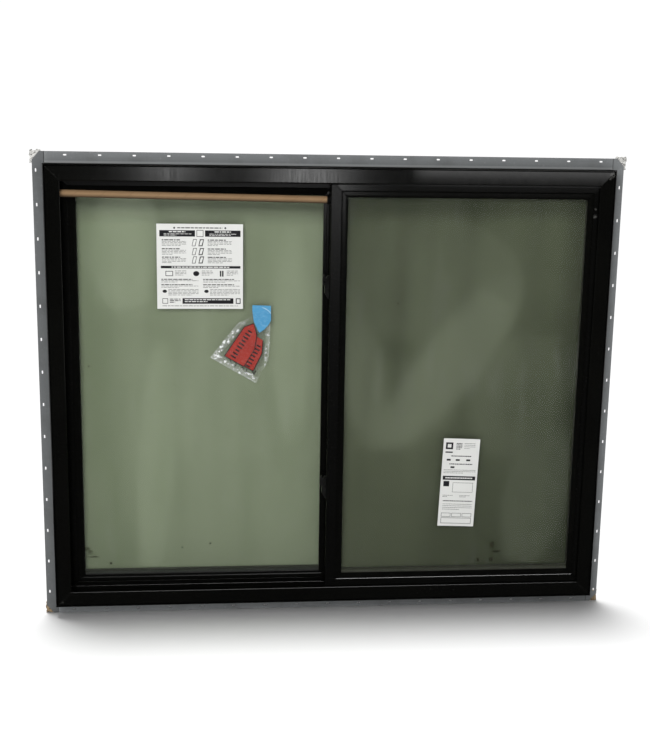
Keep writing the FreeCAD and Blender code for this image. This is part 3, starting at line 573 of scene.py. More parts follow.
fixed_specks = [(-0.608, 0.122, 0.0046, 0.8), (-0.410, 0.165, 0.0034, 0.7), (-0.332, 0.176, 0.0038, 0.7),
                (-0.490, 0.555, 0.0028, 0.7), (-0.428, 0.625, 0.0030, 0.6), (-0.284, 0.496, 0.0030, 0.6),
                (-0.655, 0.683, 0.0030, 0.7), (-0.186, 0.360, 0.0026, 0.6)]
fixed_strokes = [(-0.656, 0.142, 0.0060, 0.50, 0.28, 1.6), (-0.672, 0.166, 0.0056, 0.40, 0.5, 0.8),
                 (-0.664, 0.156, 0.0046, 0.40, 0.5, 0.5)]
sash_specks = [(0.175, 0.860, 0.0036, 0.7), (0.463, 0.127, 0.0070, 0.8), (0.425, 0.126, 0.0060, 0.7)]
sash_strokes = [(0.477, 0.150, 0.0066, 0.75, 0.40, 1.3), (0.464, 0.170, 0.0080, 0.70, 0.9, 0.6)]
fixed_face = dusty_pane("fixed_glass_face", 0.012, fixed_specks, fixed_strokes, 0.012)
sash_face = dusty_pane("sash_glass_face", -0.024, sash_specks, sash_strokes, 0.008)
print("dusty panes: 2, specks:", len(fixed_specks) + len(sash_specks))

# %% [markdown]
# The spacer between the panes is a folded steel strip that is dark except along its foot. Just above the
# foot, a duller band is a painted shadow line.
# The rollers are dark nylon, the bars of the insect screen are painted, and its cloth is black glass
# fibre. They are seen at a slant through glass or from behind, so a little grain is enough.

# %% Spacer, rollers and screen
def spacer_strip(side, bright, dull, upper_dark):
    steel = Finish(side + "_spacer_steel", constants={"Metallic": 0.3})
    rolled = steel.cloud((40, 400, 400), 2)
    creep = steel.cloud((55, 55, 220), 4).span(0.48, 0.70)
    rise = steel.axis("Z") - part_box(side + "_bottom_bead")[1].z
    # Painted shadow: the duller band just above the bright foot.
    strip = steel.mix(rise.span(0.0050, 0.0062), bright, dull)
    strip = steel.mix(0.2 * creep, strip, (0.030, 0.033, 0.026))
    strip = steel.mix(rise.span(0.012, 0.014), strip, upper_dark)
    steel.surface(strip, 0.34 + 0.2 * rolled + 0.15 * creep)
    return steel


fixed_strip = spacer_strip("fixed", (0.052, 0.058, 0.047), (0.034, 0.038, 0.026), (0.006, 0.0065, 0.006))
sash_strip = spacer_strip("sash", (0.080, 0.086, 0.062), (0.044, 0.048, 0.030), (0.024, 0.027, 0.016))
nylon_tones = ((0.045, 0.045, 0.047), (0.11, 0.11, 0.11))
roller_nylon = two_tone("roller_nylon_dark", (260, 4), nylon_tones, (0.4, 0.3), (0.45, 0.7))
paint_tones = ((0.010, 0.010, 0.010), (0.024, 0.024, 0.023))
screen_paint = two_tone("screen_bar_black", (12, 4), paint_tones, (0.34, 0.2), grain=(900, 0.00008))
yarn_tones = ((0.012, 0.012, 0.012), (0.035, 0.035, 0.034))
screen_yarn = two_tone("screen_yarn_black", (800, 2), yarn_tones, (0.55, 0.3), specular=0.3)
print("small finishes: spacer, nylon, screen bar, screen yarn")

# %% [markdown]
# The bracing tube is wound from kraft board, so a helical seam runs round it and the paper has fibres
# along the winding. An angle round the tube's axis plus a share of the way along it gives the helix,
# and the part after the decimal point of that sum tells how far a point is from the seam. The underside
# is painted darker, as painted shade where the tube turns away from the light.

# %% Kraft board and the rubber cap
TUBE_RADIUS = 0.0095
SEAMS_PER_METRE = 14.0
tube_low, tube_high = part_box("shipping_tube")
tube_drop = (tube_high.z - tube_low.z - 2 * TUBE_RADIUS) / (tube_high.x - tube_low.x)
tube_middle = (tube_low + tube_high) / 2
kraft = Finish("kraft_board_wound", 0.2)
beside = kraft.axis("Y") - tube_middle.y
above = kraft.axis("Z") - tube_middle.z + tube_drop * (kraft.axis("X") - tube_middle.x)
winding = above.maths("ARCTAN2", above, beside)
turns = (1 / (2 * math.pi)) * winding + SEAMS_PER_METRE * kraft.axis("X")
seam = turns.maths("FRACT", turns).span(0.0, 0.035, 1.0, 0.0)
fibre = kraft.cloud((160, 900, 900), 4)
board = kraft.mix(0.6 * fibre + 0.4 * kraft.cloud(18, 4), (0.205, 0.126, 0.064), (0.365, 0.238, 0.132))
board = kraft.mix(0.6 * seam, board, (0.12, 0.070, 0.035))
# Painted shade: the underside of the tube is mixed towards near black.
underside_shade = above.span(-0.9 * TUBE_RADIUS, 0.1 * TUBE_RADIUS, 0.85, 0.0)
board = kraft.mix(underside_shade, board, (0.022, 0.014, 0.008))
kraft.surface(board, 0.68 + 0.2 * fibre, fibre - 1.5 * seam, 0.0002)

rubber_tones = ((0.002, 0.002, 0.002), (0.009, 0.009, 0.0085))
cap_rubber = two_tone("cap_rubber_black", (120, 4), rubber_tones, (0.34, 0.25), (0.48, 0.7))
print("tube leans", round(math.degrees(math.atan(tube_drop)), 2), "degrees")

# %% [markdown]
# The solids now take their finishes. Sharp CAD edges catch no light, while real bars have a radius of
# about a millimetre that shows as a thin line along every lip and mitre. A bevel modifier gives that
# without touching the mesh. The imported mesh is split at its edges, so a weld comes before the bevel.
# Like pieces end in the same word, so the ends of their names pick them out.

# %% Dress the solids
WELD_REACH = 0.00001


def dress(finish, edge, *name_ends):
    chosen = [solids[n] for n in solids if n.endswith(name_ends)]
    for solid in chosen:
        solid.material_slots[0].material = finish.material
        if edge:
            weld = solid.modifiers.new("weld", "WELD")
            weld.merge_threshold = WELD_REACH
            round_off = solid.modifiers.new("eased_edges", "BEVEL")
            round_off.width = edge
            round_off.segments = 3
            round_off.limit_method = "ANGLE"
            round_off.angle_limit = math.radians(40)
    return len(chosen)


outfits = [
    (frame_black, 0.0011, "frame_head", "frame_sill"),
    (side_black, 0.0011, "_jamb"),
    (sash_black, 0.0012, "_rail"),
    (stile_black, 0.0012, "_stile"),
    (bead, 0.0012, "_bead"),
    (track, 0.0008, "sill_track", "head_guide"),
    (lock, 0.0004, "_case", "_lever"),
    (screen_paint, 0.0004, "_bar"),
    (cap_rubber, 0.0005, "_cap"),
    (kraft, 0, "shipping_tube"),
    (level_grey, 0, "fin_head", "fin_sill"),
    (upright_grey, 0, "fin_left", "fin_right"),
    (fixed_tint, 0, "fixed_outer_pane"),
    (sash_tint, 0, "sash_outer_pane"),
    (fixed_face, 0, "fixed_inner_pane"),
    (sash_face, 0, "sash_inner_pane"),
    (fixed_strip, 0, "fixed_spacer"),
    (sash_strip, 0, "sash_spacer"),
    (roller_nylon, 0, "sash_rollers"),
]
print("solids dressed:", sum(dress(*outfit) for outfit in outfits))

# %% [markdown]
# The other pieces are built from a form, which is a list of points and a list of faces. One helper joins
# several forms, and one makes the object, gives it its finish, lets it ride on the window, and hides the
# plain solid that it stands for.

# %% Helpers for new pieces
def joined(forms):
    points = []
    faces = []
    for some_points, some_faces in forms:
        shift = len(points)
        points += some_points
        faces += [tuple(shift + k for k in face) for face in some_faces]
    return points, faces


def add_piece(name, form, finish, stands_for=(), smooth=True):
    points, faces = form
    data = bpy.data.meshes.new(name)
    data.from_pydata(points, [], faces)
    data.validate()
    data.materials.append(finish.material)
    for face in data.polygons:
        face.use_smooth = smooth
    piece = put_in_scene(name, data)
    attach(piece, "root")
    if stands_for:
        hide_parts(*stands_for)
    print(name, "points:", len(points), "faces:", len(faces))
    return piece


print("helpers ready: joined forms and new pieces")

# %% [markdown]
# The insect screen is a woven cloth with about sixteen yarns to the inch. A see-through image would
# be the quick way, but real yarns hold up in a close view and throw the right grey over what is behind.
# Each yarn is a prism with four sides, and the two directions lie just in front of each other.

# %% Weave the insect screen
YARN_PITCH = 0.0016
YARN_HALF = 0.00015
YARN_SHIFT = 0.0001
UPRIGHT, LEVEL = 2, 0


def weave(low, high):
    points = []
    faces = []
    depth = Vector((0, YARN_HALF, 0))
    for run, step, shift in ((UPRIGHT, LEVEL, -YARN_SHIFT), (LEVEL, UPRIGHT, YARN_SHIFT)):
        across = Vector((0, 0, 0))
        across[step] = YARN_HALF
        centre = Vector((0, (low.y + high.y) / 2 + shift, 0))
        for k in range(1, int((high[step] - low[step]) / YARN_PITCH)):
            first = len(points)
            centre[step] = low[step] + k * YARN_PITCH
            for end in (low[run], high[run]):
                centre[run] = end
                points += [centre + across, centre + depth, centre - across, centre - depth]
            for a, b in ((0, 1), (1, 2), (2, 3), (3, 0)):
                faces.append((first + a, first + b, first + 4 + b, first + 4 + a))
    return points, faces


add_piece("screen_cloth", weave(*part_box("screen_mesh")), screen_yarn, ["screen_mesh"])

# %% [markdown]
# Two papers are stuck to the panes for the fitter. Paper that has been damp lies in shallow waves and
# lifts at its corners, so each leaf is a grid between the four corners of its solid, pushed towards the
# room by a small smooth height. The same height is used again for the print, which has to follow it.

# %% The form of a paper leaf
PAPER_GAP = 0.0001
CURL_START = 0.72


def leaf_corners(name):
    """Bottom left, bottom right, top left and top right of a flat sheet's front face."""
    points = [v.co for v in solids[name].data.vertices]
    front = min(p.y for p in points)
    rules = [lambda p: p.x + p.z, lambda p: p.z - p.x, lambda p: p.x - p.z, lambda p: -p.x - p.z]
    return [Vector((c.x, front, c.z)) for c in (min(points, key=rule) for rule in rules)]


class Leaf:
    """A sheet of paper on a pane: across runs from 0 at the left to 1, down from 0 at the top to 1."""

    def __init__(self, name, curl, seed):
        self.corners = leaf_corners(name)
        self.curl = curl
        self.seed = seed

    def lift(self, across, down):
        wave = noise.noise(Vector((across * 2.2 + self.seed, down * 2.2, 0.3 * self.seed)))
        corner = max(0.0, abs(across - 0.5) + abs(down - 0.5) - CURL_START) / (1 - CURL_START)
        return PAPER_GAP + self.curl * (0.22 * (wave + 1) * 0.5 + 0.78 * corner ** 2)

    def point(self, across, down, proud=0.0):
        low_left, low_right, top_left, top_right = self.corners
        top = top_left.lerp(top_right, across)
        low = low_left.lerp(low_right, across)
        return top.lerp(low, down) - Vector((0, self.lift(across, down) + proud, 0))

    def form(self, steps):
        row = steps + 1
        points = [self.point(a / steps, d / steps) for d in range(row) for a in range(row)]
        firsts = [d * row + a for d in range(steps) for a in range(steps)]
        return points, [(k, k + row, k + row + 1, k + 1) for k in firsts]


print("leaf corners:", [tuple(round(v, 4) for v in c) for c in leaf_corners("rating_sheet")][:2])

# %% [markdown]
# The paper is bright office stock: nearly white, with a faint tooth and soft creases. The ink is a dull
# black that doesn't cover quite evenly.

# %% Paper and ink
paper = Finish("sheet_paper_white", 0.2)
tooth = paper.cloud(1500, 2)
crease = paper.cloud(16, 4)
paper_tone = paper.mix(crease, (0.70, 0.705, 0.685), (0.78, 0.785, 0.76))
paper.surface(paper_tone, 0.6 + 0.2 * tooth, 0.2 * tooth + crease, 0.0006, 0.4)
ink_tones = ((0.010, 0.010, 0.012), (0.026, 0.026, 0.029))
ink = two_tone("sheet_ink_black", (700, 3), ink_tones, (0.6, 0.2), specular=0.2)
print("paper and ink ready")

# %% [markdown]
# What is printed is only a layout: rules, bars, empty boxes and rows of short dashes where words would
# stand. Drawing it as thin flat geometry just in front of the paper keeps every edge sharp in a close
# view. The dashes get their lengths from a seeded generator, so each run gives the same page. Where a
# row stands white on a black bar, a second page in paper white lies in front of the first.

# %% Helpers for the print
import random

PAGE_SIDE = 1000
INK_PROUD = 0.00012
LONGEST_FACE = 80
WORD_GAP = 9
DISC_SIDES = 16
LEAF_STEPS = 28


class Page:
    """Flat shapes in thousandths of a leaf, laid just in front of it."""

    def __init__(self, leaf, seed, proud):
        self.leaf = leaf
        self.chance = random.Random(seed)
        self.proud = proud
        self.points = []
        self.faces = []

    def shape(self, corners):
        first = len(self.points)
        self.points += [self.leaf.point(a / PAGE_SIDE, d / PAGE_SIDE, self.proud) for a, d in corners]
        self.faces.append(tuple(range(first, len(self.points))))

    def bar(self, left, top, right, bottom):
        pieces = max(1, math.ceil((right - left) / LONGEST_FACE))
        for k in range(pieces):
            a = left + (right - left) * k / pieces
            b = left + (right - left) * (k + 1) / pieces
            self.shape([(a, top), (a, bottom), (b, bottom), (b, top)])

    def disc(self, across, down, wide, tall):
        angles = [2 * math.pi * k / DISC_SIDES for k in range(DISC_SIDES)]
        self.shape([(across + wide * math.cos(t), down - tall * math.sin(t)) for t in angles])

    def outline(self, left, top, right, bottom, line, lean=0, ratio=1.0):
        rise = line * ratio
        outer = [(left + lean, top), (left, bottom), (right, bottom), (right + lean, top)]
        inner = [(left + lean + line, top + rise), (left + line, bottom - rise),
                 (right - line, bottom - rise), (right + lean - line, top + rise)]
        for k in range(4):
            self.shape([outer[k], outer[(k + 1) % 4], inner[(k + 1) % 4], inner[k]])

    def words(self, left, top, right, bottom, rows=1, weight=0.9):
        pitch = (bottom - top) / rows
        for k in range(rows):
            start = left
            stop = right
            if k == rows - 1 and rows > 1:
                stop = left + (right - left) * self.chance.uniform(0.4, 0.8)
            while start < stop - 4:
                end = min(stop, start + self.chance.uniform(16, 58))
                self.bar(start, top + k * pitch, end, top + (k + weight) * pitch)
                start = end + WORD_GAP


def add_sheet(node, piece, stem, curl, wave_seed, layout, word_seed):
    leaf = Leaf(node, curl, wave_seed)
    add_piece(piece, leaf.form(LEAF_STEPS), paper, [node])
    page = Page(leaf, word_seed, INK_PROUD)
    white = Page(leaf, word_seed + 1, 2 * INK_PROUD)
    layout(page, white)
    for label, printed, finish in (("print", page, ink), ("white", white, paper)):
        add_piece(f"{stem}_{label}", (printed.points, printed.faces), finish, smooth=False)


print("print helpers:", [name for name in vars(Page) if not name.startswith("_")])

# %% [markdown]
# The fitting sheet is a square page: two black panels at the top, three steps to each side of a column
# of small drawings, a black rule, a row of tools, paragraphs, and a black panel at the foot. Places are
# thousandths of the page instead of metres, so the layout follows the sheet if it is made larger.

# %% The fitting sheet
def fitting_layout(page, white):
    page.words(240, 41, 760, 53)
    for across in (205, 795):
        page.disc(across, 47, 11, 11)
    for left in (33, 560):
        page.bar(left, 75, left + 411, 148)
        white.words(left + 110, 85, left + 300, 100)
        white.words(left + 50, 114, left + 370, 144, 2, 0.40)
    page.outline(462, 72, 541, 150, 6)
    for top in (182, 286, 384):
        for left in (60, 590):
            page.words(left, top, left + 210, top + 12)
            page.words(left, top + 20, left + 280, top + 84, 4, 0.28)
        page.outline(405, top - 4, 447, top + 78, 6, 18)
        page.outline(482, top - 4, 530, top + 78, 10, 18)
    page.bar(46, 492, 970, 521)
    white.words(170, 500, 840, 513)
    page.outline(99, 552, 186, 612, 7)
    page.disc(455, 582, 36, 30)
    for left in (730, 756):
        page.bar(left, 548, left + 17, 616)
    for left in (210, 520, 810):
        page.words(left, 548, left + 130, 614, 4, 0.28)
    for left in (50, 535):
        for top in (645, 708):
            page.words(left, top, left + 360, top + 11)
            page.words(left, top + 19, left + 430, top + 51, 2, 0.28)
        page.disc(left + 38, 792, 26, 19)
        page.words(left + 80, 768, left + 430, 850, 5, 0.28)
    page.outline(60, 876, 125, 938, 6)
    page.words(145, 880, 270, 936, 3, 0.5)
    page.bar(293, 874, 888, 940)
    white.words(320, 886, 860, 932, 2, 0.45)
    page.outline(916, 874, 972, 940, 10)
    page.words(60, 962, 940, 970, 1, 0.7)


add_sheet("instruction_sheet", "fitting_sheet", "fitting", 0.0013, 3.1, fitting_layout, 11)

# %% [markdown]
# The rating sheet is narrow and leans a little. It has short figures as bars, a black rule with a white
# row, a dark square beside an empty drawing, and boxes at its foot. A line that is as thick across as it
# is down needs fewer thousandths of the long side, which is what the last number of an outline does.

# %% The rating sheet
def rating_layout(page, white):
    page.outline(70, 45, 270, 122, 50, 0, 0.38)
    page.words(360, 50, 520, 130, 5, 0.55)
    page.words(580, 50, 880, 125, 4, 0.22)
    page.bar(70, 148, 270, 163)
    page.words(240, 192, 800, 204)
    for left in (120, 370, 660):
        page.bar(left, 232, left + 110, 252)
    page.words(200, 283, 840, 295)
    page.bar(240, 315, 350, 335)
    page.words(60, 354, 940, 404, 3, 0.25)
    page.bar(50, 425, 950, 470)
    white.words(120, 440, 880, 455)
    page.bar(80, 484, 240, 545)
    page.outline(340, 500, 900, 610, 8, 0, 0.4)
    for left in (80, 550):
        page.words(left, 645, left + 280, 675, 2, 0.30)
    page.words(100, 706, 920, 717)
    page.words(100, 745, 920, 825, 4, 0.22)
    for left in (80, 370, 660):
        page.outline(left, 850, left + 260, 895, 10, 0, 0.4)
    page.outline(80, 905, 920, 970, 10, 0, 0.4)


add_sheet("rating_sheet", "rating_leaf", "rating", 0.0009, 7.7, rating_layout, 23)

# %% [markdown]
# The bag of fittings hangs from a strip of painter's tape and sags towards its lower corner. It is a
# pouch of two films sealed round their edge. A cloth simulation would do, but the outline is known and
# the film is stiff, so the films are cut from a fine grid along the outline and pushed out by a depth
# that grows from the sealed edge and is fuller low down.

# %% Cut a sheet along an outline
import bmesh


def sides_of(ring):
    return zip(ring, ring[1:] + ring[:1])


def taken_from(sheet):
    """The form of a bmesh, which is freed."""
    sheet.verts.index_update()
    points = [v.co.copy() for v in sheet.verts]
    faces = [tuple(v.index for v in f.verts) for f in sheet.faces]
    sheet.free()
    return points, faces


def cut_leaf(outline, step, surface):
    """A fine grid cut along a convex outline of (x, z) points, with surface(x, z) as its y."""
    turn_sign = sum(a[0] * b[1] - b[0] * a[1] for a, b in sides_of(outline))
    ring = outline if turn_sign > 0 else outline[::-1]
    xs, zs = zip(*ring)
    wide = max(xs) - min(xs)
    tall = max(zs) - min(zs)
    sheet = bmesh.new()
    bmesh.ops.create_grid(sheet, x_segments=int(wide / step), y_segments=int(tall / step), size=0.5)
    for v in sheet.verts:
        v.co = Vector((min(xs) + (v.co.x + 0.5) * wide, 0.0, min(zs) + (v.co.y + 0.5) * tall))
    for a, b in sides_of(ring):
        cut = {"plane_co": (a[0], 0.0, a[1]), "plane_no": (b[1] - a[1], 0.0, a[0] - b[0])}
        everything = sheet.verts[:] + sheet.edges[:] + sheet.faces[:]
        bmesh.ops.bisect_plane(sheet, geom=everything, clear_outer=True, dist=0.00001, **cut)
    for v in sheet.verts:
        v.co.y = surface(v.co.x, v.co.z)
    return taken_from(sheet)


def inset(outline, x, z):
    """How far a point lies inside a convex outline."""
    best = 1.0
    for a, b in sides_of(outline):
        along = (Vector(b) - Vector(a)).normalized()
        best = min(best, abs((Vector((x, z)) - Vector(a)).cross(along)))
    return best


POUCH = [(-0.2160, 0.8178), (-0.2544, 0.8007), (-0.2771, 0.7737), (-0.3292, 0.7065),
         (-0.2057, 0.6355), (-0.1727, 0.6985), (-0.1692, 0.7416), (-0.1676, 0.7987)]
PANE_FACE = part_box("fixed_inner_pane")[0].y
BULGE = 0.0068
SEAL_FADE = 0.010
FULL_DROP = 0.18 / 1.3


def pouch_depth(x, z):
    fullness = 0.55 + 0.45 * min(1.0, (POUCH[0][1] - z) / FULL_DROP)
    return BULGE * fullness * (1 - math.exp(-inset(POUCH, x, z) / SEAL_FADE))


print("pouch depth in the middle, mm:", round(1000 * pouch_depth(-0.23, 0.72), 2))

# %% [markdown]
# Clear film shows only by its highlights and by the white of its creases. So the film is almost fully
# see-through, with more cover along narrow ridges of noise, which are partly crease whitening and partly
# painted highlight, along the seal, and in white flashes beside the card, which are painted glints. How
# far a point is from a sealed edge is a dot product with the edge's own direction turned by a quarter.

# %% The film
film = Finish("bag_film_clear", 0.6, {"Roughness": 0.2, "Base Color": (0.93, 0.95, 0.95, 1.0)})


def from_edge(start, end):
    along = (Vector(end) - Vector(start)).normalized()
    inward = Vector((-along.y, 0.0, along.x))
    level = inward.dot(Vector((start[0], 0.0, start[1])))
    return film.vector("DOT_PRODUCT", film.place(), inward, "Value") - level


left_rim = from_edge(POUCH[1], POUCH[3])
low_rim = from_edge(POUCH[3], POUCH[4])
right_rim = from_edge(POUCH[5], POUCH[7])
seal = low_rim.near(0.0006, 0.0012) + 0.6 * right_rim.near(0.0006, 0.0014)
loose = left_rim.span(0.010, 0.017, 1.0, 0.0) + low_rim.span(0.012, 0.020, 1.0, 0.0)
loose = loose + 0.6 * right_rim.span(0.006, 0.012, 1.0, 0.0)
# Painted highlights: the white ridges are partly painted glints, and the white flashes are painted glints.
crease_and_glint = film.cloud(75).near(0.5, 0.030)
painted_glint = film.cloud((85, 85, 102), 5).span(0.555, 0.605)
patch = film.cloud(40, 2).span(0.34, 0.46)
cover = 0.012 + 0.04 * crease_and_glint + 0.22 * seal + loose * (0.05 + 0.15 * crease_and_glint + 0.80 * painted_glint * patch)
film.feed("Alpha", cover.span(0.0, 0.9, 0.0, 0.9))
film.feed("Normal", film.bump(crease_and_glint + painted_glint, 0.0005, 0.5))
print("film ready")

# %% [markdown]
# The pouch itself is two cut sheets. The front one bulges by the depth, with folds that fan out from the
# tape and a finer crinkle, and the back one lies flat on the pane.

# %% The pouch
FILM_GAP = 0.0002
GATHER = Vector((-0.192, 0.805))


def wave_at(x, z, scale, layer):
    return noise.noise(Vector((x * scale, z * scale, layer)))


def pouch_front(x, z):
    away = Vector((x, z)) - GATHER
    fan = math.sin(11 * math.atan2(away.x, -away.y) + 3 * wave_at(x, z, 30, 2.0))
    crinkle = wave_at(x, z, 90, 5.0) + 0.5 * wave_at(x, z, 210, 9.0)
    return PANE_FACE - FILM_GAP - pouch_depth(x, z) * (0.86 + 0.10 * fan + 0.10 * crinkle)


def pouch_back(x, z):
    return PANE_FACE - FILM_GAP


back_points, back_faces = cut_leaf(POUCH, 0.0060, pouch_back)
back_film = (back_points, [face[::-1] for face in back_faces])
pouch_form = joined([cut_leaf(POUCH, 0.0022, pouch_front), back_film])
add_piece("fittings_pouch", pouch_form, film, ["hardware_bag"])

# %% [markdown]
# In the pouch is a folded red card with a black border and two slanting rows of plain black bars. The
# card is two leaves, at about a half and a third of the pouch's depth, so the film stays in front of them.

# %% The red card
card_red = Finish("card_red_board", 0.3)
card_tooth = card_red.cloud(1400, 2)
card_tone = card_red.mix(card_red.cloud(35, 4), (0.27, 0.016, 0.009), (0.42, 0.040, 0.025))
card_red.surface(card_tone, 0.5 + 0.25 * card_tooth, card_tooth, 0.0001)
CARD_FRONT = [(-0.2387, 0.7918), (-0.2927, 0.7110), (-0.2380, 0.6800), (-0.2080, 0.7300),
              (-0.2022, 0.7690), (-0.2092, 0.7961), (-0.2127, 0.8014)]
CARD_BACK = [(-0.2250, 0.7690), (-0.2500, 0.6880), (-0.2127, 0.6674), (-0.1884, 0.7172),
             (-0.1856, 0.7532), (-0.2006, 0.7622)]
CARD_STEP = 0.004
CARD_GAP = 0.0003


def card_surface(share):
    def surface(x, z):
        bow = 0.08 * wave_at(x, z, 25, share * 40)
        return PANE_FACE - CARD_GAP - pouch_depth(x, z) * (share + bow)
    return surface


front_leaf = card_surface(0.52)
back_leaf = card_surface(0.30)
card_form = joined([cut_leaf(CARD_FRONT, CARD_STEP, front_leaf), cut_leaf(CARD_BACK, CARD_STEP, back_leaf)])
red_card = add_piece("red_card", card_form, card_red)
card_stock = red_card.modifiers.new("card_stock", "SOLIDIFY")
card_stock.thickness = 0.0003

# %% [markdown]
# The card's print is a border and two slanting rows of bars. A decal would need an image, so each mark
# is a run of short flat faces that follow the leaf they lie on, half a millimetre in front of it.

# %% The print of the card
MARK_STEP = 0.005
MARK_PROUD = 0.0005
BORDER = 0.0022
BAR_WIDTH = 0.0042


def card_line(start, end, width, surface):
    along = end - start
    side = Vector((-along.y, along.x)).normalized() * width
    steps = math.ceil(along.length / MARK_STEP)
    for k in range(steps):
        a = start.lerp(end, k / steps)
        b = start.lerp(end, (k + 1) / steps)
        corners = (a, b, b + side, a + side)
        yield [Vector((p.x, surface(p.x, p.y) - MARK_PROUD, p.y)) for p in corners], [(0, 1, 2, 3)]


marks = []
front_ring = [Vector(p) for p in CARD_FRONT]
back_ring = [Vector(p) for p in CARD_BACK[1:5]]
for start, end in sides_of(front_ring):
    marks += card_line(start, end, BORDER, front_leaf)
for start, end in zip(back_ring, back_ring[1:]):
    marks += card_line(start, end, BORDER, back_leaf)
card_rows = [(Vector((-0.2215, 0.7800)), Vector((-0.2660, 0.7110)), 9, front_leaf),
             (Vector((-0.1975, 0.7400)), Vector((-0.2270, 0.6850)), 7, back_leaf)]
for start, end, count, surface in card_rows:
    across = Vector((end.y - start.y, start.x - end.x)).normalized()
    for k in range(count):
        middle = start.lerp(end, k / (count - 1))
        half = across * (0.0080 if k % 3 else 0.0062)
        marks += card_line(middle - half, middle + half, BAR_WIDTH, surface)
add_piece("card_print", joined(marks), ink, smooth=False)

# %% [markdown]
# The screws are turned shapes: a profile of radii spun round the axis, with a fine thread as small rises
# and falls of the shank. Six of them lie at odd angles, and peep out below the card's lower edge.

# %% The screws
zinc_tones = ((0.010, 0.010, 0.011), (0.040, 0.040, 0.042))
screw_zinc = two_tone("screw_black_zinc", (900, 3), zinc_tones, (0.3, 0.2), constants={"Metallic": 0.7})
SCREW_HEAD = [(0.0, 0.0), (0.0014, 0.0001), (0.0020, 0.0005), (0.0020, 0.0009), (0.0010, 0.0018)]
THREAD = [(0.0009 if k % 2 else 0.0012, 0.0022 + 0.0005 * k) for k in range(16)]
TIP = [(0.0, 0.0118)]
SCREWS = [(-0.2760, 0.7000, 160), (-0.2590, 0.6900, 205), (-0.2440, 0.6800, 140),
          (-0.2310, 0.6740, 190), (-0.2150, 0.6680, 150), (-0.2050, 0.6700, 215)]
SCREW_Y = PANE_FACE - 0.0022


def turned(profile, sides):
    angles = [2 * math.pi * k / sides for k in range(sides)]
    points = [Vector((r * math.cos(t), r * math.sin(t), h)) for r, h in profile for t in angles]
    faces = []
    for ring in range(len(profile) - 1):
        for k in range(sides):
            a = ring * sides + k
            b = ring * sides + (k + 1) % sides
            faces.append((a, b, b + sides, a + sides))
    return points, faces


one_points, one_faces = turned(SCREW_HEAD + THREAD + TIP, 10)
screw_forms = []
for x, z, degrees in SCREWS:
    lay = Matrix.Rotation(math.radians(degrees), 3, "Y")
    screw_forms.append(([lay @ p + Vector((x, SCREW_Y, z)) for p in one_points], one_faces))
add_piece("loose_screws", joined(screw_forms), screw_zinc)

# %% [markdown]
# The tape is blue creped paper. It lies flat on the pane above, climbs over the gathered top of the
# pouch, and ends in a torn point. The crepe is a fine ripple across the strip, made in the bump. A pale arc
# along a tight crease and faint pale streaks are painted highlights, and the arc is a part of a circle: the
# points that lie at one distance from a centre.

# %% The tape
tape = Finish("tape_blue_crepe", 0.25)
crepe = tape.cloud((2200, 2200, 500), 2)
tape_tone = tape.mix(0.4 * crepe + 0.6 * tape.cloud(60, 4), (0.050, 0.250, 0.470), (0.125, 0.390, 0.640))
# Painted highlights: a pale arc along the crease and faint pale streaks.
bend = tape.vector("DISTANCE", tape.place(), (-0.1998, PANE_FACE, 0.8024), "Value")
pale = bend.near(0.0425, 0.0014) * tape.axis("X").span(-0.192, -0.186)
pale = pale + 0.22 * tape.cloud((38, 38, 83.6)).near(0.5, 0.020)
tape_tone = tape.mix(0.7 * pale, tape_tone, (0.55, 0.72, 0.80))
tape.surface(tape_tone, 0.55 + 0.2 * crepe, crepe, 0.0002, 0.6)
TAPE = [(-0.2157, 0.8500), (-0.2152, 0.8316), (-0.2125, 0.8079), (-0.2038, 0.7879), (-0.1970, 0.7756),
        (-0.1822, 0.7856), (-0.1714, 0.7982), (-0.1657, 0.8093), (-0.1660, 0.8483)]
CLIMB_Z = 0.825
CLIMB_FADE = 0.020


def tape_surface(x, z):
    stick = 0.00025 + 0.0003 * abs(wave_at(x, z, 70, 1.0))
    fold = 0.0006 * max(0.0, noise.noise(Vector((x * 160, z * 25, 4.0))))
    over = 0.0
    if z < CLIMB_Z + 0.004:
        over = 0.0009 + 0.95 * BULGE * (1 - math.exp(-max(0.0, CLIMB_Z - z) / CLIMB_FADE))
    return PANE_FACE - stick - fold - over


add_piece("blue_tape", cut_leaf(TAPE, 0.0016, tape_surface), tape, ["tape_strip"])

# %% [markdown]
# Foam pads stand behind the corners of the fin, white at the head and tan at the sill. Foam is all small
# holes, so pores darken it and pit its surface, and where it is crumpled, painted shade darkens the
# crevices between the lumps: they lie where a slow cloud of noise passes its middle value.

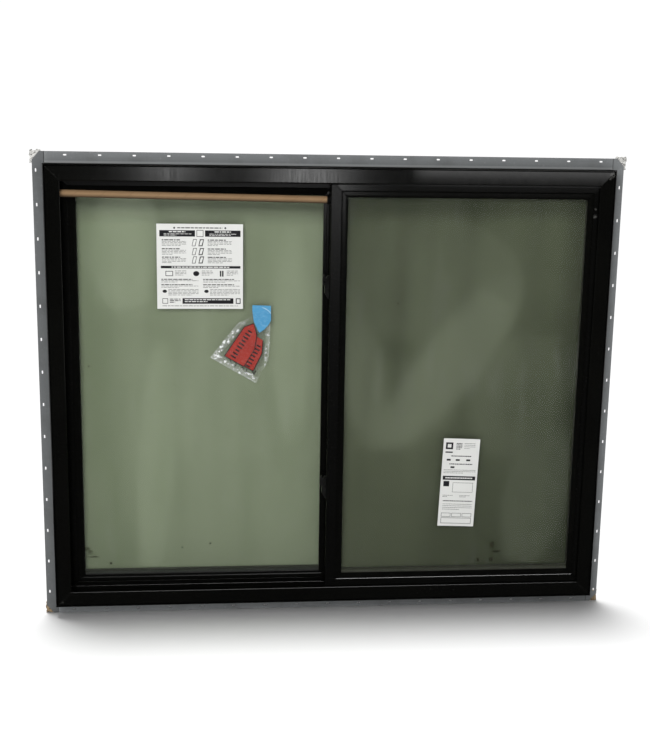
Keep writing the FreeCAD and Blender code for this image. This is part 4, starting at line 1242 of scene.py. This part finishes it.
# %% Foam
def foam(name, dark, light):
    cells = Finish(name, 0.15, {"Roughness": 0.9})
    pores = cells.cloud(500, 2).span(0.35, 0.65)
    shaded_crevice = cells.cloud(105, 1).near(0.5, 0.034)
    cell_tone = cells.mix(0.6 * pores + 0.4 * cells.cloud(60, 4), dark, light)
    # Painted shade: the crevices are mixed towards near black.
    cells.feed("Base Color", cells.mix(0.8 * shaded_crevice, cell_tone, (0.035, 0.033, 0.030)))
    cells.feed("Normal", cells.bump(pores - 2.0 * shaded_crevice, 0.0010, 0.7))
    return cells


foam_white = foam("foam_white_cells", (0.52, 0.51, 0.48), (0.92, 0.92, 0.89))
foam_tan = foam("foam_tan_cells", (0.30, 0.21, 0.12), (0.52, 0.40, 0.26))
print("foams: white and tan")

# %% [markdown]
# The torn edges of the pads peep out from behind the fin. Each pad is a block that is divided finely and
# pushed about by noise, which gives the crumpled look, and it is pressed flat by the fin and the floor.
# Blender's vector noise starts from the clock unless it is given a seed, and with one the foam is the
# same in each run.

# %% Crumpled pads
PAD_WIDTH = 0.022
LUMP_PUSH = 0.0042
CRUMB_PUSH = 0.0018
noise.seed_set(5)


def crumpled_block(low, high, seed):
    block = bmesh.new()
    bmesh.ops.create_cube(block, size=1.0)
    bmesh.ops.subdivide_edges(block, edges=block.edges[:], cuts=9, use_grid_fill=True)
    for v in block.verts:
        rest = low + (v.co + Vector((0.5, 0.5, 0.5))) * (high - low)
        push = noise.noise_vector(rest * 110 + Vector((seed, 0, 0))) * LUMP_PUSH
        push += noise.noise_vector(rest * 340 + Vector((0, seed, 0))) * CRUMB_PUSH
        moved = rest + push
        moved.y = max(low.y + 0.00005, moved.y)
        moved.z = max(cad_low.z, moved.z)
        v.co = moved
    return taken_from(block)


def crumpled_pads(name, node, finish, seed, proud_x, proud_z):
    low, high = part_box(node)
    low += Vector((-proud_x, 0, min(0.0, proud_z)))
    high += Vector((proud_x, 0, max(0.0, proud_z)))
    width = PAD_WIDTH + proud_x
    left_high = Vector((low.x + width, high.y, high.z))
    right_low = Vector((high.x - width, low.y, low.z))
    blocks = [crumpled_block(low, left_high, seed), crumpled_block(right_low, high, seed)]
    pads = add_piece(name, joined(blocks), finish, [node])


crumpled_pads("head_corner_foam", "fin_head_corner_pads", foam_white, 1.7, 0.005, 0.003)
crumpled_pads("sill_corner_foam", "fin_sill_corner_pads", foam_tan, 4.2, 0.002, -0.0005)

# %% [markdown]
